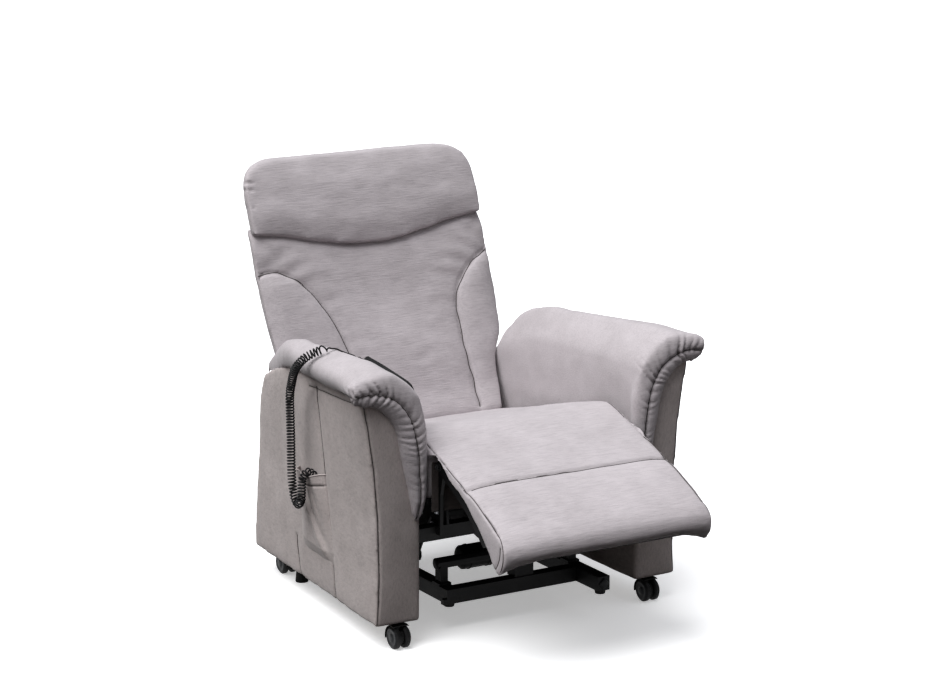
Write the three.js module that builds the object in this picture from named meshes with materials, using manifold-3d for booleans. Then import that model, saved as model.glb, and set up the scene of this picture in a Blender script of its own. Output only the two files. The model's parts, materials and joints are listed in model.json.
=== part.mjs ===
// Powered lift recliner chair on casters, shown reclined with the footrest raised.
// Millimetres, +Z up, the chair's front towards -Y, x = 0 on its middle plane.
// The origin is on the floor, in the middle of the chair's width and depth.

import * as THREE from 'three';
import { mergeVertices } from 'three/addons/utils/BufferGeometryUtils.js';
import Module from 'manifold-3d';

const wasm = await Module();
wasm.setup();

// ---------------------------------------------------------------- driving dimensions

const Y_SHIFT = 53.1; // moves the working frame so that y = 0 is the middle of the depth
const GAP = 0.3; // between pieces that touch

// arms
const ARM_IN = 288; // inner face of an arm's side box, beside the seat
const ARM_IN_LOW = 271; // the same face below the arm pad, level with the pad's inner side
const ARM_OUT_BOTTOM = 375; // outer face at the bottom front corner
const ARM_FLARE = 29; // how far the outer face leans out over its height, at the front
const ARM_SPLAY = 50; // how far the outer face comes in towards the rear
const ARM_FRONT = -347;
const ARM_REAR = 332;
const ARM_BOTTOM = 57;
const COVER_TOP = 557; // top of the side box at the front, under the pad
const PAD_KNEE = 430; // the pad keeps its full section below this height
const PAD_REF = 622; // top of the pad at the front
// height of the top of the arm pad along the chair's depth
const ARM_TOP = [[-370, 608], [-347, 614], [-251, 617], [-97, 607], [70, 592], [180, 557], [246, 524], [314, 479], [334, 462]];

// seat
const SEAT_HALF = 252;
const SEAT_FRONT = -338;
const SEAT_REAR = 203;

// backrest: a frame that leans back, with its base on the cushion's front face
const LEAN = 22; // degrees from vertical in the pose shown
const BACK_Y = 226;
const BACK_Z = 400;
const BACK_PIVOT = [268, 330]; // y, z
const BACK_LEN = 582;
// half of the curved seam under the headrest: x, distance up the back
const HEAD_SEAM = [[40, 360], [80, 366], [160, 382], [220, 396], [260, 403], [299, 407]];

// footrest: its line runs forward and down from the seat's front edge
const FOOT_PIVOT = [-368, 397]; // y, z
const FOOT_HALF = 257;

// base frame and lift
const RAIL_X = 165; // middle of each base rail
const RAIL_W = 30;
const RAIL_Z0 = 63;
const RAIL_Z1 = 95;
const LIFT_REAR = [150, 118]; // lift arm's pivot on the base
const LIFT_FRONT = [-180, 150]; // lift arm's pivot on the seat frame
const LIFT_ARM_X = 189; // middle of each lift arm
const SIDE_PLATE_X = 200; // middle of each seat side plate

// lift drive
const LIFT_DRIVE_FIXED = [-270, 112];
const LIFT_DRIVE_END = [118, 200];
const LIFT_DRIVE_X = 17;

// recline drive
const BACK_DRIVE_FIXED = [-150, 200];
const BACK_DRIVE_END = [256, 192];
const BACK_DRIVE_X = -110;

// casters
const WHEEL_R = 25;
const CASTER_TRAIL = 16;
// x, y of each swivel, and which way its wheels trail
const CASTERS = { front_left: [-319, -313, -1], front_right: [319, -313, -1], rear_left: [-278, 251, 1], rear_right: [278, 251, 1] };
const AXLE_Z = WHEEL_R * Math.cos(Math.PI / 24);

// hand control and its curly lead
const WIRE_R = 2.4;
const COIL_R = 9;

// ---------------------------------------------------------------- helpers

const finish = (color, roughness, metalness = 0) => new THREE.MeshStandardMaterial({ color, roughness, metalness });
const FABRIC = finish(0xa79d9b, 0.95);
const FABRIC_DARK = finish(0x8f8684, 0.95);
const STEEL = finish(0x17181b, 0.45, 0.7);
const PLASTIC = finish(0x141416, 0.5);
const MOTOR = finish(0x1b1c20, 0.55);
const RUBBER = finish(0x0e0e10, 0.8);
const TREAD = finish(0x2b2d31, 0.7);
const PLY = finish(0xb08a5c, 0.7);
const ZINC = finish(0x9a9da3, 0.35, 0.9);
const KEY = finish(0xc9ccd1, 0.5);

const chair = new THREE.Group();
const frame = new THREE.Group();
frame.position.y = Y_SHIFT;
chair.add(frame);

function add(name, geometry, material, parent = frame) {
  const g = clean(geometry);
  g.computeVertexNormals();
  const m = new THREE.Mesh(g, material);
  m.name = name;
  parent.add(m);
  return m;
}

function clean(geometry) {
  const g = geometry.clone();
  g.deleteAttribute('normal');
  g.deleteAttribute('uv');
  return mergeVertices(g, 1e-3);
}

function solid(geometry) {
  const g = clean(geometry);
  return new wasm.Manifold(new wasm.Mesh({
    numProp: 3,
    vertProperties: Float32Array.from(g.attributes.position.array),
    triVerts: Uint32Array.from(g.index.array),
  }));
}

function shell(s) {
  const m = s.getMesh();
  const g = new THREE.BufferGeometry();
  g.setAttribute('position', new THREE.BufferAttribute(Float32Array.from(m.vertProperties), 3));
  g.setIndex(new THREE.BufferAttribute(Uint32Array.from(m.triVerts), 1));
  return g;
}

const join = (...parts) => shell(parts.map(solid).reduce((a, b) => a.add(b)));
const cut = (body, ...tools) => shell(tools.map(solid).reduce((a, b) => a.subtract(b), solid(body)));

// moves every vertex of a geometry by a function of its position
function warp(geometry, fn) {
  const g = clean(geometry);
  const p = g.attributes.position;
  const v = new THREE.Vector3();
  for (let i = 0; i < p.count; i++) {
    v.fromBufferAttribute(p, i);
    fn(v);
    p.setXYZ(i, v.x, v.y, v.z);
  }
  return g;
}

// the other hand of a piece
function mirror(geometry) {
  const g = warp(geometry, (v) => { v.x = -v.x; });
  const t = g.index.array;
  for (let i = 0; i < t.length; i += 3) {
    const a = t[i];
    t[i] = t[i + 1];
    t[i + 1] = a;
  }
  return g;
}

function box(x0, x1, y0, y1, z0, z1, nx = 1, ny = 1, nz = 1) {
  return new THREE.BoxGeometry(x1 - x0, y1 - y0, z1 - z0, nx, ny, nz).translate((x0 + x1) / 2, (y0 + y1) / 2, (z0 + z1) / 2);
}

const area = (p) => p.reduce((s, [x, y], i) => {
  const [u, v] = p[(i + 1) % p.length];
  return s + x * v - u * y;
}, 0);

function outline(points, holes = []) {
  const ring = (p, turn) => (area(p) * turn < 0 ? [...p].reverse() : p).map(([u, v]) => new THREE.Vector2(u, v));
  const s = new THREE.Shape(ring(points, 1));
  for (const h of holes) s.holes.push(new THREE.Path(ring(h, -1)));
  return s;
}

const basis = (a, b, c) => new THREE.Matrix4().makeBasis(new THREE.Vector3(...a), new THREE.Vector3(...b), new THREE.Vector3(...c));

// a profile in (y, z) carried from x0 to x1
function profileX(points, x0, x1, holes, steps = 1) {
  return new THREE.ExtrudeGeometry(outline(points, holes), { depth: x1 - x0, bevelEnabled: false, steps })
    .applyMatrix4(basis([0, 1, 0], [0, 0, 1], [1, 0, 0])).translate(x0, 0, 0);
}

// a profile in (x, z) carried from y0 to y1
function profileY(points, y0, y1, holes, steps = 1) {
  return new THREE.ExtrudeGeometry(outline(points, holes), { depth: y1 - y0, bevelEnabled: false, steps })
    .applyMatrix4(basis([1, 0, 0], [0, 0, 1], [0, -1, 0])).translate(0, y1, 0);
}

function ring(cy, cz, r, n = 12) {
  return Array.from({ length: n }, (_, i) => {
    const a = ((i + 0.5) / n) * Math.PI * 2;
    return [cy + r * Math.cos(a), cz + r * Math.sin(a)];
  });
}

// a round bar from one point to another
function bar(p, q, r, n = 12, r2 = r) {
  const a = new THREE.Vector3(...p);
  const d = new THREE.Vector3(...q).sub(a);
  const g = new THREE.CylinderGeometry(r2, r, d.length(), n);
  g.applyQuaternion(new THREE.Quaternion().setFromUnitVectors(new THREE.Vector3(0, 1, 0), d.clone().normalize()));
  return g.translate(a.x + d.x / 2, a.y + d.y / 2, a.z + d.z / 2);
}

// a flat bar in a (y, z) plane between two points, with round ends
function link(p, q, half, x0, x1, holes = [], n = 5) {
  const a = Math.atan2(q[1] - p[1], q[0] - p[0]);
  const pts = [];
  for (let i = 0; i <= n; i++) {
    const t = a - Math.PI / 2 + (Math.PI * i) / n;
    pts.push([q[0] + half * Math.cos(t), q[1] + half * Math.sin(t)]);
  }
  for (let i = 0; i <= n; i++) {
    const t = a + Math.PI / 2 + (Math.PI * i) / n;
    pts.push([p[0] + half * Math.cos(t), p[1] + half * Math.sin(t)]);
  }
  return profileX(pts, x0, x1, holes);
}

const lerp = (table, x) => {
  if (x <= table[0][0]) return table[0][1];
  for (let i = 1; i < table.length; i++) {
    const [a, u] = table[i - 1];
    const [b, v] = table[i];
    if (x <= b) return u + ((v - u) * (x - a)) / (b - a);
  }
  return table[table.length - 1][1];
};

// ---------------------------------------------------------------- base frame

const rail = (x, y0, y1) => box(x - RAIL_W / 2, x + RAIL_W / 2, y0, y1, RAIL_Z0, RAIL_Z1);
add('base_rail_left', join(rail(-RAIL_X, -296, 262), box(-189, -178, -296, -284, RAIL_Z0, RAIL_Z0 + 12)), STEEL);
add('base_rail_right', rail(RAIL_X, -385, 262), STEEL);
const IN = RAIL_X - RAIL_W / 2 - GAP;
add('base_crossbar_front', box(-IN, IN, -296, -266, RAIL_Z0, RAIL_Z1), STEEL);
add('base_crossbar_rear', box(-IN, IN, 214, 244, RAIL_Z0, RAIL_Z1), STEEL);
const pad = (x, y) => new THREE.CylinderGeometry(13, 11, 9, 12).rotateX(Math.PI / 2).translate(x, y, RAIL_Z0 - GAP - 4.5);
add('base_foot_front_left', pad(-RAIL_X, -278), RUBBER);
add('base_foot_front_right', pad(RAIL_X, -370), RUBBER);
add('base_foot_rear_left', pad(-RAIL_X, 246), RUBBER);
add('base_foot_rear_right', pad(RAIL_X, 246), RUBBER);

// the tube that the seat frame comes down on, carried by two front posts
add('base_rest_tube', join(
  bar([-178, -246, 142], [178, -246, 142], 13, 10),
  box(-RAIL_X - 9, -RAIL_X + 9, -258, -234, RAIL_Z1 + GAP, 142),
  box(RAIL_X - 9, RAIL_X + 9, -258, -234, RAIL_Z1 + GAP, 142),
  box(-RAIL_X - 15, -RAIL_X + 15, -262, -230, RAIL_Z1 + GAP, RAIL_Z1 + 5),
  box(RAIL_X - 15, RAIL_X + 15, -262, -230, RAIL_Z1 + GAP, RAIL_Z1 + 5),
), STEEL);

// shaft that the lift arms turn on, with its bracket on each rail
const shaftFoot = (x) => profileX([[122, RAIL_Z1 + GAP], [178, RAIL_Z1 + GAP], [164, 128], [150, 134], [136, 128]], x - 12, x + 12);
add('lift_pivot_shaft', join(
  bar([-LIFT_ARM_X - 6, ...LIFT_REAR], [LIFT_ARM_X + 6, ...LIFT_REAR], 6, 12),
  shaftFoot(-RAIL_X), shaftFoot(RAIL_X),
), STEEL);

// the post at the middle of the front crossbar that the lift drive pushes from
add('lift_drive_bracket', join(
  box(LIFT_DRIVE_X - 24, LIFT_DRIVE_X - 19, -292, -261, RAIL_Z1 + GAP, 128),
  box(LIFT_DRIVE_X + 19, LIFT_DRIVE_X + 24, -292, -261, RAIL_Z1 + GAP, 128),
  box(LIFT_DRIVE_X - 24, LIFT_DRIVE_X + 24, -292, -261, RAIL_Z1 + GAP, RAIL_Z1 + 4),
  box(LIFT_DRIVE_X - 24, LIFT_DRIVE_X + 24, -292, -288, RAIL_Z1 + GAP, 128),
), STEEL);

// ---------------------------------------------------------------- lift arms

function liftArm(side) {
  const x = side * LIFT_ARM_X;
  const hole = ring(...LIFT_REAR, 6.4, 12);
  const flat = link(LIFT_REAR, LIFT_FRONT, 17, x - 3, x + 3, [hole]);
  const pin = bar([x + side * 2, ...LIFT_FRONT], [side * (SIDE_PLATE_X + 5), ...LIFT_FRONT], 6, 12);
  return join(flat, pin);
}
add('lift_arm_left', liftArm(-1), STEEL);
add('lift_arm_right', liftArm(1), STEEL);
// the tube across the arms, and the lever that the drive pushes
const TORQUE = [100, 130];
add('lift_torque_tube', join(
  bar([-LIFT_ARM_X + 3 + GAP, ...TORQUE], [LIFT_ARM_X - 3 - GAP, ...TORQUE], 15, 12),
  link(TORQUE, LIFT_DRIVE_END, 11, LIFT_DRIVE_X + 16, LIFT_DRIVE_X + 22),
  link(TORQUE, LIFT_DRIVE_END, 11, LIFT_DRIVE_X - 22, LIFT_DRIVE_X - 16),
  // ears that carry the tube down onto the arms
  link(TORQUE, [64, 127], 12, LIFT_ARM_X - 9.5, LIFT_ARM_X - 3 - GAP),
  link(TORQUE, [64, 127], 12, -LIFT_ARM_X + 3 + GAP, -LIFT_ARM_X + 9.5),
), STEEL);

// ---------------------------------------------------------------- lift drive

function along(p, q, s) {
  const d = Math.hypot(q[0] - p[0], q[1] - p[1]);
  return [p[0] + ((q[0] - p[0]) * s) / d, p[1] + ((q[1] - p[1]) * s) / d];
}

// motor housing with its outer tube, hinged at its fixed end
function drive(x, p, q, tubeEnd, side) {
  const eye = bar([x - 18, ...p], [x + 18, ...p], 8, 12);
  const neck = bar([x, ...p], [x, ...along(p, q, 48)], 8, 12);
  const gear = new THREE.BoxGeometry(38, 66, 42, 1, 1, 1);
  const a = Math.atan2(q[1] - p[1], q[0] - p[0]);
  const m = along(p, q, 76);
  gear.rotateX(a).translate(x, ...m);
  const motor = bar([x + side * 12, ...along(p, q, 76)], [x + side * 104, ...along(p, q, 76)], 27, 14);
  const tube = bar([x, ...along(p, q, 100)], [x, ...along(p, q, tubeEnd)], 15, 12);
  const bore = bar([x, ...along(p, q, 112)], [x, ...along(p, q, tubeEnd + 5)], 10.6, 12);
  return shell([eye, neck, gear, motor, tube].map(solid).reduce((s, t) => s.add(t)).subtract(solid(bore)));
}

function pushRod(x, p, q, tubeEnd, inside) {
  return join(
    bar([x, ...along(p, q, tubeEnd - inside)], [x, ...q], 9.8, 12),
    bar([x - 12, ...q], [x + 12, ...q], 11, 12),
  );
}
add('lift_drive_motor', drive(LIFT_DRIVE_X, LIFT_DRIVE_FIXED, LIFT_DRIVE_END, 330, -1), MOTOR);
add('lift_drive_rod', pushRod(LIFT_DRIVE_X, LIFT_DRIVE_FIXED, LIFT_DRIVE_END, 330, 200), ZINC);
add('recline_drive_motor', drive(BACK_DRIVE_X, BACK_DRIVE_FIXED, BACK_DRIVE_END, 300, 1), MOTOR);
add('recline_drive_rod', pushRod(BACK_DRIVE_X, BACK_DRIVE_FIXED, BACK_DRIVE_END, 300, 145), ZINC);

// ---------------------------------------------------------------- seat frame

// side plate: a rail under the seat, V struts down to the lift arm's pin, a nose that
// carries the footrest's pivot, and a tail that carries the backrest's pivot
function sidePlate(side) {
  const x = side * SIDE_PLATE_X;
  const body = [
    [-334, 256.3], [-262, 256.3], [-200, 146], [-180, 133], [-160, 146], [-104, 236], [150, 186], [172, 176.3], [204, 176.3], [246, 188],
    [286, 300], [286, 344], [252, 344], [226, 240], [210, 212], [-330, 304.5],
  ];
  const vee = [[-234, 256], [-186, 174], [-176, 174], [-134, 240], [-160, 262], [-218, 270]];
  return cut(profileX(body, x - 3, x + 3, [vee]),
    bar([x - 6, ...LIFT_FRONT], [x + 6, ...LIFT_FRONT], 6.4, 12),
    bar([x - 6, ...BACK_PIVOT], [x + 6, ...BACK_PIVOT], 6.4, 12));
}
add('seat_side_plate_left', sidePlate(-1), STEEL);
add('seat_side_plate_right', sidePlate(1), STEEL);
// cross tubes between the arms, with the brackets of the footrest's pivots
function pivotArm(side) {
  const x = side * 226;
  return profileX([[-346, 240], [-346, 398], [-356, 411], [-368, 414], [-380, 406], [-381, 390], [-364, 372], [-353, 330], [-352, 240]], x - 4, x + 4);
}
const footPin = (side) => bar([side * 223, ...FOOT_PIVOT], [side * 241, ...FOOT_PIVOT], 6, 12);
add('seat_tube_front', join(
  box(-270.5, 270.5, -334, -304, 226, 256),
  box(222, 230, -350, -320, 240, 254),
  box(-230, -222, -350, -320, 240, 254),
  pivotArm(1), pivotArm(-1), footPin(1), footPin(-1),
), STEEL);
add('seat_tube_rear', join(
  box(-270.5, 270.5, 174, 202, 148, 176),
), STEEL);
add('seat_deck', profileX([[-330, 306], [-330, 317], [200, 227], [200, 216]], -246, 246), PLY);
add('seat_front_panel', box(-246, 246, -345.4, -338.6, 290, 420), FABRIC_DARK);
add('seat_cushion', profileX([
  [SEAT_FRONT, 319.5], [SEAT_FRONT, 412], [-326, 434], [-302, 450], [-268, 458], [-222, 455], [-120, 430],
  [0, 399], [110, 369], [180, 349], [198, 332], [SEAT_REAR, 310], [SEAT_REAR, 228],
], -SEAT_HALF, SEAT_HALF), FABRIC);
add('control_box', join(box(52, 178, -140, -10, 200, 244), box(92, 130, -12, 8, 210, 236)), PLASTIC);

// ---------------------------------------------------------------- arms

const depth = (y) => (y - ARM_FRONT) / (ARM_REAR - ARM_FRONT);
const outerX = (y, z) => ARM_OUT_BOTTOM - ARM_SPLAY * depth(y) + ARM_FLARE * ((z - ARM_BOTTOM) / 488) * (1 - 1.2 * Math.max(0, depth(y)));
const lift = (y, z) => (z <= PAD_KNEE ? z : PAD_KNEE + ((z - PAD_KNEE) * (lerp(ARM_TOP, y) - PAD_KNEE)) / (PAD_REF - PAD_KNEE));
const STATIONS = [ARM_FRONT, -251, -97, 70, 180, 230, ARM_REAR];
const REAR_LEAN = 52; // the rear edge of an arm comes forward by this much over its height

// side box of an arm, between x of its inner face and its outer face
const LEVELS = [0, 180, 296, 299, 430, 1]; // heights between the box's bottom and top
function armBox(inset, y0, y1, z0, top) {
  const n = STATIONS.length - 1;
  const m = LEVELS.length - 1;
  const g = box(0, 1, 0, n, 0, m, 1, n, m);
  return warp(g, (v) => {
    const i = Math.round(v.y);
    const j = Math.round(v.z);
    const h = j === 0 ? z0 : j === m ? top : LEVELS[j];
    const y = i === 0 ? y0 : i === n ? y1 - (REAR_LEAN * (h - z0)) / (top - z0) : STATIONS[i];
    const z = lift(y, h);
    v.x = v.x < 0.5 ? (j < 3 ? ARM_IN_LOW : ARM_IN) + inset : outerX(y, z) - inset;
    v.y = y;
    v.z = z;
  });
}
const armCover = cut(
  armBox(0, ARM_FRONT, ARM_REAR, ARM_BOTTOM, COVER_TOP),
  armBox(11, ARM_FRONT + 14, ARM_REAR - 14, ARM_BOTTOM - 20, COVER_TOP - 12),
  profileY([[200, 389.5], [264.3, 397.5], [303.4, 445.5], [320.4, 499.5], [320.4, 700], [200, 700]], 209.5, 420),
);
add('arm_cover_right', armCover, FABRIC);
add('arm_cover_left', mirror(armCover), FABRIC);

// arm frame inside: a foot board for the casters, an upright and a top board
const armFrame = join(
  warp(box(284, 1, -330, 310, 57.3, 80, 1, 1, 1), (v) => { if (v.x < 200) v.x = outerX(v.y, 60) - 15; }),
  box(300.5, 309, -330, 270, 79, 400),
  box(300.5, 314, -330, 262, 399, 410),
);
add('arm_frame_right', armFrame, PLY);
add('arm_frame_left', mirror(armFrame), PLY);

// arm pad: a padded roll over the top that runs down the arm's inner side
const PAD_SECTION = [
  [ARM_IN - 0.6, 300], [ARM_IN - 0.6, COVER_TOP + 1.2], [406.5, COVER_TOP + 1.2], [406.5, 545], [424, 555], [437, 572],
  [438, 588], [428, 602], [405, 611], [370, 618], [350, 619], [336, 611], [306, 590], [289, 573], [277, 549], [272.5, 515],
  [271, 470], [270.6, 400], [274, 330], [280, 300],
];
const PAD_STATIONS = [-360, ARM_FRONT - 1, -251, -97, 70, 180, 230, 270, 288];
// how far the pad's roll reaches past the side box, from the front to nothing at the rear
const roll = (y) => 1 - Math.min(1, Math.max(0, (y - ARM_FRONT) / 640)) ** 1.6;
function armPad() {
  const n = PAD_STATIONS.length - 1;
  const g = profileY(PAD_SECTION, 0, n, [], n);
  const full = outerX(ARM_FRONT, 545) - ARM_IN;
  return warp(g, (v) => {
    const y = PAD_STATIONS[Math.round(v.y)];
    const k = (outerX(y, 545) - ARM_IN) / full;
    const past = Math.max(0, v.x - 406.5);
    if (v.x > ARM_IN) v.x = ARM_IN + (v.x - past - ARM_IN) * k + 0.6 + past * roll(y);
    v.y = y;
    v.z = lift(y, v.z);
  });
}
// the rear inner corner gives way to the backrest's side wings
const wingRoom = profileY([[200, 390], [264, 398], [303, 446], [320, 500], [320, 700], [200, 700]], 210, 420);
const armPadRight = shell(solid(armPad()).subtract(solid(wingRoom)));
add('arm_pad_right', armPadRight, FABRIC);
add('arm_pad_left', mirror(armPadRight), FABRIC);

// pocket on the outer side of the left arm, open at the top
const POCKET = { y0: -140, y1: 46, lean: 37, z0: 134, z1: 335 };
function pocketBlock(inset, top) {
  return warp(box(0, 1, 0, 2, 0, 2, 1, 2, 2), (v) => {
    const z = v.z < 0.5 ? POCKET.z0 + inset : v.z > 1.5 ? top - (v.y > 0.5 && v.y < 1.5 ? 14 : 0) : 235;
    const y = v.y < 0.5 ? POCKET.y0 + inset + (POCKET.lean * (z - POCKET.z0)) / (POCKET.z1 - POCKET.z0) : v.y > 1.5 ? POCKET.y1 - inset : -30;
    const swell = v.z < 0.5 ? 8 : v.z > 1.5 ? [16, 34, 25][v.y] : [12, 27, 16][v.y];
    const out = v.x < 0.5 ? (inset ? -8 : 1) : swell - inset;
    v.x = outerX(y, Math.min(z, POCKET.z1)) + out;
    v.y = y;
    v.z = z;
  });
}
add('side_pocket', mirror(cut(pocketBlock(0, POCKET.z1), pocketBlock(3, POCKET.z1 + 20))), FABRIC);

// ---------------------------------------------------------------- backrest

const rad = (a) => (a * Math.PI) / 180;
const UP = [0, Math.sin(rad(LEAN)), Math.cos(rad(LEAN))];
const OUT = [0, -Math.cos(rad(LEAN)), Math.sin(rad(LEAN))];
// an outline in (x, distance up the back) with a thickness along the back's normal
function backSlab(points, n0, n1, holes) {
  return new THREE.ExtrudeGeometry(outline(points, holes), { depth: n1 - n0, bevelEnabled: false })
    .translate(0, 0, n0).applyMatrix4(basis([1, 0, 0], UP, OUT)).translate(0, BACK_Y, BACK_Z);
}
const both = (pts) => [...pts, ...pts.map(([x, s]) => [-x, s]).reverse()];
const backPoint = (s, n) => [BACK_Y + UP[1] * s + OUT[1] * n, BACK_Z + UP[2] * s + OUT[2] * n];
// a cushion: it is widest at its front face and draws in to the shell behind it
function backPad(points, n0, n1, crown) {
  const g = new THREE.ExtrudeGeometry(outline(points), { depth: n1 - n0, bevelEnabled: false, steps: 4 }).translate(0, 0, n0);
  return warp(g, (v) => {
    const t = (v.z - n0) / (n1 - n0);
    const rear = Math.max(0, 0.75 - t) / 0.75;
    if (Math.abs(v.x) > 200) v.x -= Math.sign(v.x) * (Math.abs(v.x) - 200) * 0.5 * rear;
    if (v.y < 0) v.y *= 0.3 + 0.7 * t;
    if (v.y > 480) v.y -= crown * Math.max(0, Math.abs(t - 0.45) - 0.25) ** 1.5 * ((v.y - 480) / 100);
  }).applyMatrix4(basis([1, 0, 0], UP, OUT)).translate(0, BACK_Y, BACK_Z);
}
add('back_cushion', backPad(both([
  [228, -50], [246, -36], [252, 0], [254, 50], [270, 78], [292, 112], [300, 180], [303, 310],
  ...HEAD_SEAM.map(([x, s]) => [x, s - 0.8]).reverse(),
]), -84, 0, 0), FABRIC);
add('headrest_cushion', backPad(both([
  ...HEAD_SEAM.map(([x, s]) => [x, s + 0.8]),
  [297, 500], [291, 530], [282, 550], [262, 568], [222, 580], [110, BACK_LEN],
]), -84, 22, 60), FABRIC);
// shell behind the cushions, with an ear and a pin on each side at the pivot
const EAR = [
  backPoint(50, -85), backPoint(50, -98), backPoint(-10, -98), [286, 318], [BACK_DRIVE_END[0] + 12, BACK_DRIVE_END[1] - 4],
  [BACK_DRIVE_END[0] - 2, BACK_DRIVE_END[1] - 12], [BACK_DRIVE_END[0] - 12, BACK_DRIVE_END[1]], [249, 318], [250, 330], [258, 338], [292, 338],
];
add('back_frame', join(
  backSlab([[226, 0], [226, 536], [-226, 536], [-226, 0]], -98, -85),
  profileX(EAR, 187, 194), profileX(EAR, -194, -187),
  bar([-190, ...BACK_DRIVE_END], [BACK_DRIVE_X - 14, ...BACK_DRIVE_END], 6, 10),
  bar([BACK_DRIVE_X + 14, ...BACK_DRIVE_END], [190, ...BACK_DRIVE_END], 6, 10),
  bar([BACK_DRIVE_X - 20, BACK_DRIVE_END[0] + 17, BACK_DRIVE_END[1] + 2], [BACK_DRIVE_X + 20, BACK_DRIVE_END[0] + 17, BACK_DRIVE_END[1] + 2], 4, 8),
  box(BACK_DRIVE_X - 20, BACK_DRIVE_X - 14, BACK_DRIVE_END[0] - 6, BACK_DRIVE_END[0] + 20, BACK_DRIVE_END[1] - 6, BACK_DRIVE_END[1] + 6),
  box(BACK_DRIVE_X + 14, BACK_DRIVE_X + 20, BACK_DRIVE_END[0] - 6, BACK_DRIVE_END[0] + 20, BACK_DRIVE_END[1] - 6, BACK_DRIVE_END[1] + 6),
  bar([190, ...BACK_PIVOT], [206, ...BACK_PIVOT], 6), bar([-206, ...BACK_PIVOT], [-190, ...BACK_PIVOT], 6),
), STEEL);
add('back_rear_cover', backSlab(both([
  [222, -40], [232, -20], [234, 500], [226, 545], [206, 566], [120, 572],
]), -124, -98.5), FABRIC_DARK);

// ---------------------------------------------------------------- footrest

const D = new THREE.Vector2(-112, -54).normalize();
const N = new THREE.Vector2(D.y, -D.x); // up and forward, square to the footrest
const foot = (s, h) => [FOOT_PIVOT[0] + D.x * s + N.x * h, FOOT_PIVOT[1] + D.y * s + N.y * h];
add('footrest_bridge', profileX([[-352, 437], foot(60, 35.5), foot(120, 39), foot(118, 12), [-396, 401], [-372, 421], [-352, 424]], -FOOT_HALF, FOOT_HALF), FABRIC);
add('footrest_cushion', profileX([
  foot(121, 39), foot(230, 39.5), foot(290, 37), foot(308, 30), foot(319, 14), foot(320, -6), foot(312, -26), foot(298, -36),
  foot(282, -32), foot(200, -4), foot(128, 12),
], -FOOT_HALF, FOOT_HALF), FABRIC);
add('footrest_board', profileX([foot(135, 8.5), foot(282, -33.5), foot(279, -44), foot(132, -2)], -238, 238), PLY);
function footArm(side) {
  const a = side > 0 ? 231 : -239;
  return cut(profileX([
    foot(-14, 8), foot(-6, 14), foot(8, 14), foot(70, 2), foot(134, -3), foot(220, -27.8), foot(216, -42), foot(130, -20), foot(60, -16), foot(0, -14), foot(-12, -8),
  ], a, a + 8), bar([a - 2, ...FOOT_PIVOT], [a + 10, ...FOOT_PIVOT], 6.4, 12));
}
add('footrest_arm_left', footArm(-1), STEEL);
add('footrest_arm_right', footArm(1), STEEL);

// ---------------------------------------------------------------- casters and glides

for (const [name, [x, y, way]] of Object.entries(CASTERS)) {
  const ay = y + way * CASTER_TRAIL;
  const housing = cut(
    join(
      bar([x, y, 51.5], [x, y, 56.6], 15, 12),
      bar([x - 4, ay, AXLE_Z], [x + 4, ay, AXLE_Z], 17, 14),
      box(x - 4, x + 4, Math.min(y - way * 13, ay), Math.max(y - way * 13, ay), 30, 53),
    ),
    bar([x - 9, ay, AXLE_Z], [x + 9, ay, AXLE_Z], 4.3, 12),
  );
  add(`caster_housing_${name}`, housing, PLASTIC);
  const wheel = (a, b) => new THREE.LatheGeometry([
    new THREE.Vector2(0, a), new THREE.Vector2(WHEEL_R - 4, a), new THREE.Vector2(WHEEL_R, a + 3), new THREE.Vector2(WHEEL_R, b - 3),
    new THREE.Vector2(WHEEL_R - 4, b), new THREE.Vector2(0, b),
  ], 24).rotateY(Math.PI / 24).applyMatrix4(basis([0, 1, 0], [1, 0, 0], [0, 0, -1])).translate(x, ay, AXLE_Z);
  add(`caster_wheels_${name}`, join(wheel(5, 18), wheel(-18, -5), bar([x - 8, ay, AXLE_Z], [x + 8, ay, AXLE_Z], 4, 12)), TREAD);
}
const glide = (x, y) => new THREE.CylinderGeometry(10, 15, 56.6, 12).rotateX(Math.PI / 2).translate(x, y, 56.6 / 2);
add('glide_left', glide(-280, 190), RUBBER);
add('glide_right', glide(280, 190), RUBBER);

// ---------------------------------------------------------------- hand control and curly lead

// it lies on the steep inner shoulder of the left arm pad, its front end lower
const hand = new THREE.Group();
hand.position.set(-271, -201.8, 558.2);
const handBasis = new THREE.Matrix4().makeRotationY(rad(58))
  .multiply(new THREE.Matrix4().makeRotationX(rad(-1.4)))
  .multiply(new THREE.Matrix4().makeRotationZ(0.297));
hand.quaternion.setFromRotationMatrix(handBasis);
frame.add(hand);
const HAND_L = 158;
const handOutline = new THREE.Shape([
  [-17, -HAND_L / 2], [17, -HAND_L / 2], [23, -HAND_L / 2 + 10], [24, 10], [19, HAND_L / 2 - 10], [12, HAND_L / 2], [-12, HAND_L / 2],
  [-19, HAND_L / 2 - 10], [-24, 10], [-23, -HAND_L / 2 + 10],
].map(([a, b]) => new THREE.Vector2(a, b)));
const shellBody = new THREE.ExtrudeGeometry(handOutline, { depth: 20, bevelEnabled: false }).translate(0, 0, -10);
const KEYS = [[-9, 34], [9, 34], [-9, 8], [9, 8]];
add('handset_shell', cut(shellBody, ...KEYS.map(([a, b]) => box(a - 6.6, a + 6.6, b - 8.6, b + 8.6, 5, 14))), PLASTIC, hand);
KEYS.forEach(([a, b], i) => {
  const name = ['handset_key_lift_up', 'handset_key_lift_down', 'handset_key_back_up', 'handset_key_back_down'][i];
  add(name, box(a - 6, a + 6, b - 8, b + 8, 7.2, 12), KEY, hand);
});
hand.updateMatrix();
const handPoint = (a, b, c) => new THREE.Vector3(a, b, c).applyMatrix4(hand.matrix);
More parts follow.
